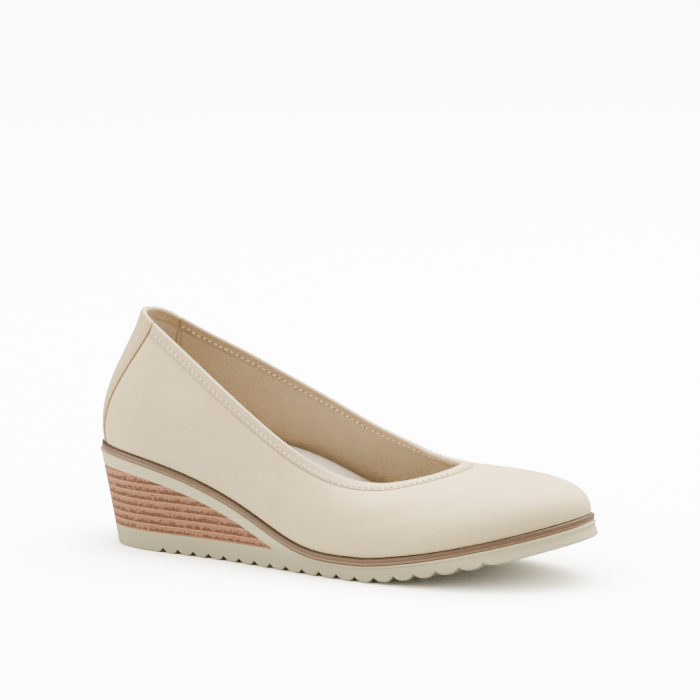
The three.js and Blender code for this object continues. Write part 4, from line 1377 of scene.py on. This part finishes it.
def paper():
    """Pale paper: seen white by the camera through a glow that lights nothing else, with a painted shadow
    under the shoe where ambient occlusion dims and warms that glow, and throwing little light back up.
    """
    made = bpy.data.materials.new("paper")
    made.use_nodes = True
    tree = made.node_tree
    tree.nodes.clear()
    # painted shadow: the glow seen by the camera is dimmed near the shoe by two ambient occlusion reads
    wide = node(tree, "ShaderNodeAmbientOcclusion", {"Distance": 0.14}, samples=16).outputs["AO"]
    close = node(tree, "ShaderNodeAmbientOcclusion", {"Distance": 0.035}, samples=16).outputs["AO"]
    open_sky = math(tree, "MULTIPLY", math(tree, "POWER", wide, 0.8), math(tree, "POWER", close, 0.9))
    # painted shadow colour: warm where the glow is dimmed, cool where it is open
    painted_shadow_tint = blend(tree, spread(tree, wide, 0.35, 0.97), (1.05, 0.97, 0.74, 1.0), (0.90, 0.96, 1.08, 1.0))
    plain = node(tree, "ShaderNodeBsdfDiffuse", {"Color": (0.35, 0.35, 0.35, 1.0)})
    seen = node(tree, "ShaderNodeBsdfDiffuse", {"Color": (0.90, 0.90, 0.90, 1.0)})
    glow = node(tree, "ShaderNodeEmission",
                {"Color": painted_shadow_tint, "Strength": math(tree, "MULTIPLY", open_sky, 9.0)})
    both = node(tree, "ShaderNodeAddShader")
    tree.links.new(seen.outputs[0], both.inputs[0])
    tree.links.new(glow.outputs[0], both.inputs[1])
    pick = node(tree, "ShaderNodeMixShader", {0: node(tree, "ShaderNodeLightPath").outputs["Is Camera Ray"]})
    tree.links.new(plain.outputs[0], pick.inputs[1])
    tree.links.new(both.outputs[0], pick.inputs[2])
    out = node(tree, "ShaderNodeOutputMaterial")
    tree.links.new(pick.outputs[0], out.inputs["Surface"])
    return made


def studio():
    """Soft white surroundings: dim warm light on the shoe, white behind it."""
    world = bpy.data.worlds.new("studio")
    world.use_nodes = True
    tree = world.node_tree
    lit = tree.nodes["Background"]
    lit.inputs["Color"].default_value = (1.0, 0.94, 0.80, 1.0)
    lit.inputs["Strength"].default_value = 0.5
    behind = node(tree, "ShaderNodeBackground", {"Color": (1.0, 1.0, 1.0, 1.0), "Strength": 14.0})
    pick = node(tree, "ShaderNodeMixShader", {0: node(tree, "ShaderNodeLightPath").outputs["Is Camera Ray"]})
    tree.links.new(lit.outputs[0], pick.inputs[1])
    tree.links.new(behind.outputs[0], pick.inputs[2])
    tree.links.new(pick.outputs[0], tree.nodes["World Output"].inputs["Surface"])
    return world


class SHOE_OT_stage(bpy.types.Operator):
    """Set the pale floor, the soft studio light and the camera"""

    bl_idname = "shoe.stage"
    bl_label = "Stage"

    def execute(self, context):
        scene = context.scene
        mesh = bpy.data.meshes.new("floor")
        reach = 14.0
        mesh.from_pydata([(-reach, -reach, 0), (reach, -reach, 0), (reach, reach, 0), (-reach, reach, 0)], [],
                         [(0, 1, 2, 3)])
        floor = bpy.data.objects.new("floor", mesh)
        scene.collection.objects.link(floor)
        mesh.materials.append(paper())
        scene.world = studio()
        softbox("overhead", (0.05, 0.75, 1.75), (0, 0, 0.03), 1.6, 188.0)
        softbox("fill", (-1.75, -1.3, 0.75), (0, 0, 0.04), 1.4, 72.0)
        softbox("side", (1.6, -0.3, 0.8), (0.05, 0, 0.04), 1.2, 12.0)
        view = scene.shoe_view
        a, e = view.azimuth, view.elevation
        back = Vector((np.sin(a) * np.cos(e), -np.cos(a) * np.cos(e), np.sin(e)))
        right = Vector((np.cos(a), np.sin(a), 0))
        up = Vector((-np.sin(a) * np.sin(e), np.cos(a) * np.sin(e), np.cos(e)))
        target = Vector(((120.0 + SHIFT[0]) / 1000, SHIFT[1] / 1000, 0.045))
        focal = view.lens / 36 * 700
        axis = (-back * focal + right * (350 - 340.38) + up * (461.67 - 350)).normalized()
        side = axis.cross(Vector((0, 0, 1))).normalized()
        data = bpy.data.cameras.new("view")
        data.sensor_width = 36
        data.lens = view.lens
        data.clip_end = 100
        camera = bpy.data.objects.new("view", data)
        camera.matrix_world = Matrix.Translation(target + back * view.distance) @ Matrix(
            (side, side.cross(axis), -axis)).transposed().to_4x4()
        scene.collection.objects.link(camera)
        scene.camera = camera
        return {"FINISHED"}


STEPS = (SHOE_OT_upper, SHOE_OT_binding, SHOE_OT_stitching, SHOE_OT_back_panel, SHOE_OT_welt, SHOE_OT_sole,
         SHOE_OT_lifts, SHOE_OT_insole, SHOE_OT_stage)


class SHOE_PT_panel(bpy.types.Panel):
    """The shoe's pieces, sizes and colours"""

    bl_idname = "SHOE_PT_panel"
    bl_label = "Wedge court shoe"
    bl_space_type = "VIEW_3D"
    bl_region_type = "UI"
    bl_category = "Shoe"

    def draw(self, context):
        for step in STEPS:
            self.layout.operator(step.bl_idname)
        for settings in (context.scene.shoe_sizes, context.scene.shoe_colours, context.scene.shoe_view):
            box = self.layout.box()
            for key in settings.__annotations__:
                box.prop(settings, key)


GROUPS = {"shoe_sizes": ShoeSizes, "shoe_colours": ShoeColours, "shoe_view": ShoeView}


def register():
    """Register the classes and hang the settings on the scene."""
    for made in (*GROUPS.values(), *STEPS, SHOE_PT_panel):
        bpy.utils.register_class(made)
    for name, kind in GROUPS.items():
        setattr(bpy.types.Scene, name, PointerProperty(type=kind))


def unregister():
    """Take the settings and classes away again."""
    for name in GROUPS:
        delattr(bpy.types.Scene, name)
    for made in (SHOE_PT_panel, *reversed(STEPS), *GROUPS.values()):
        bpy.utils.unregister_class(made)


def main():
    """Build every piece."""
    register()
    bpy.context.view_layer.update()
    for step in STEPS:
        area, name = step.bl_idname.split(".")
        getattr(getattr(bpy.ops, area), name)()


if __name__ == "__main__":
    main()
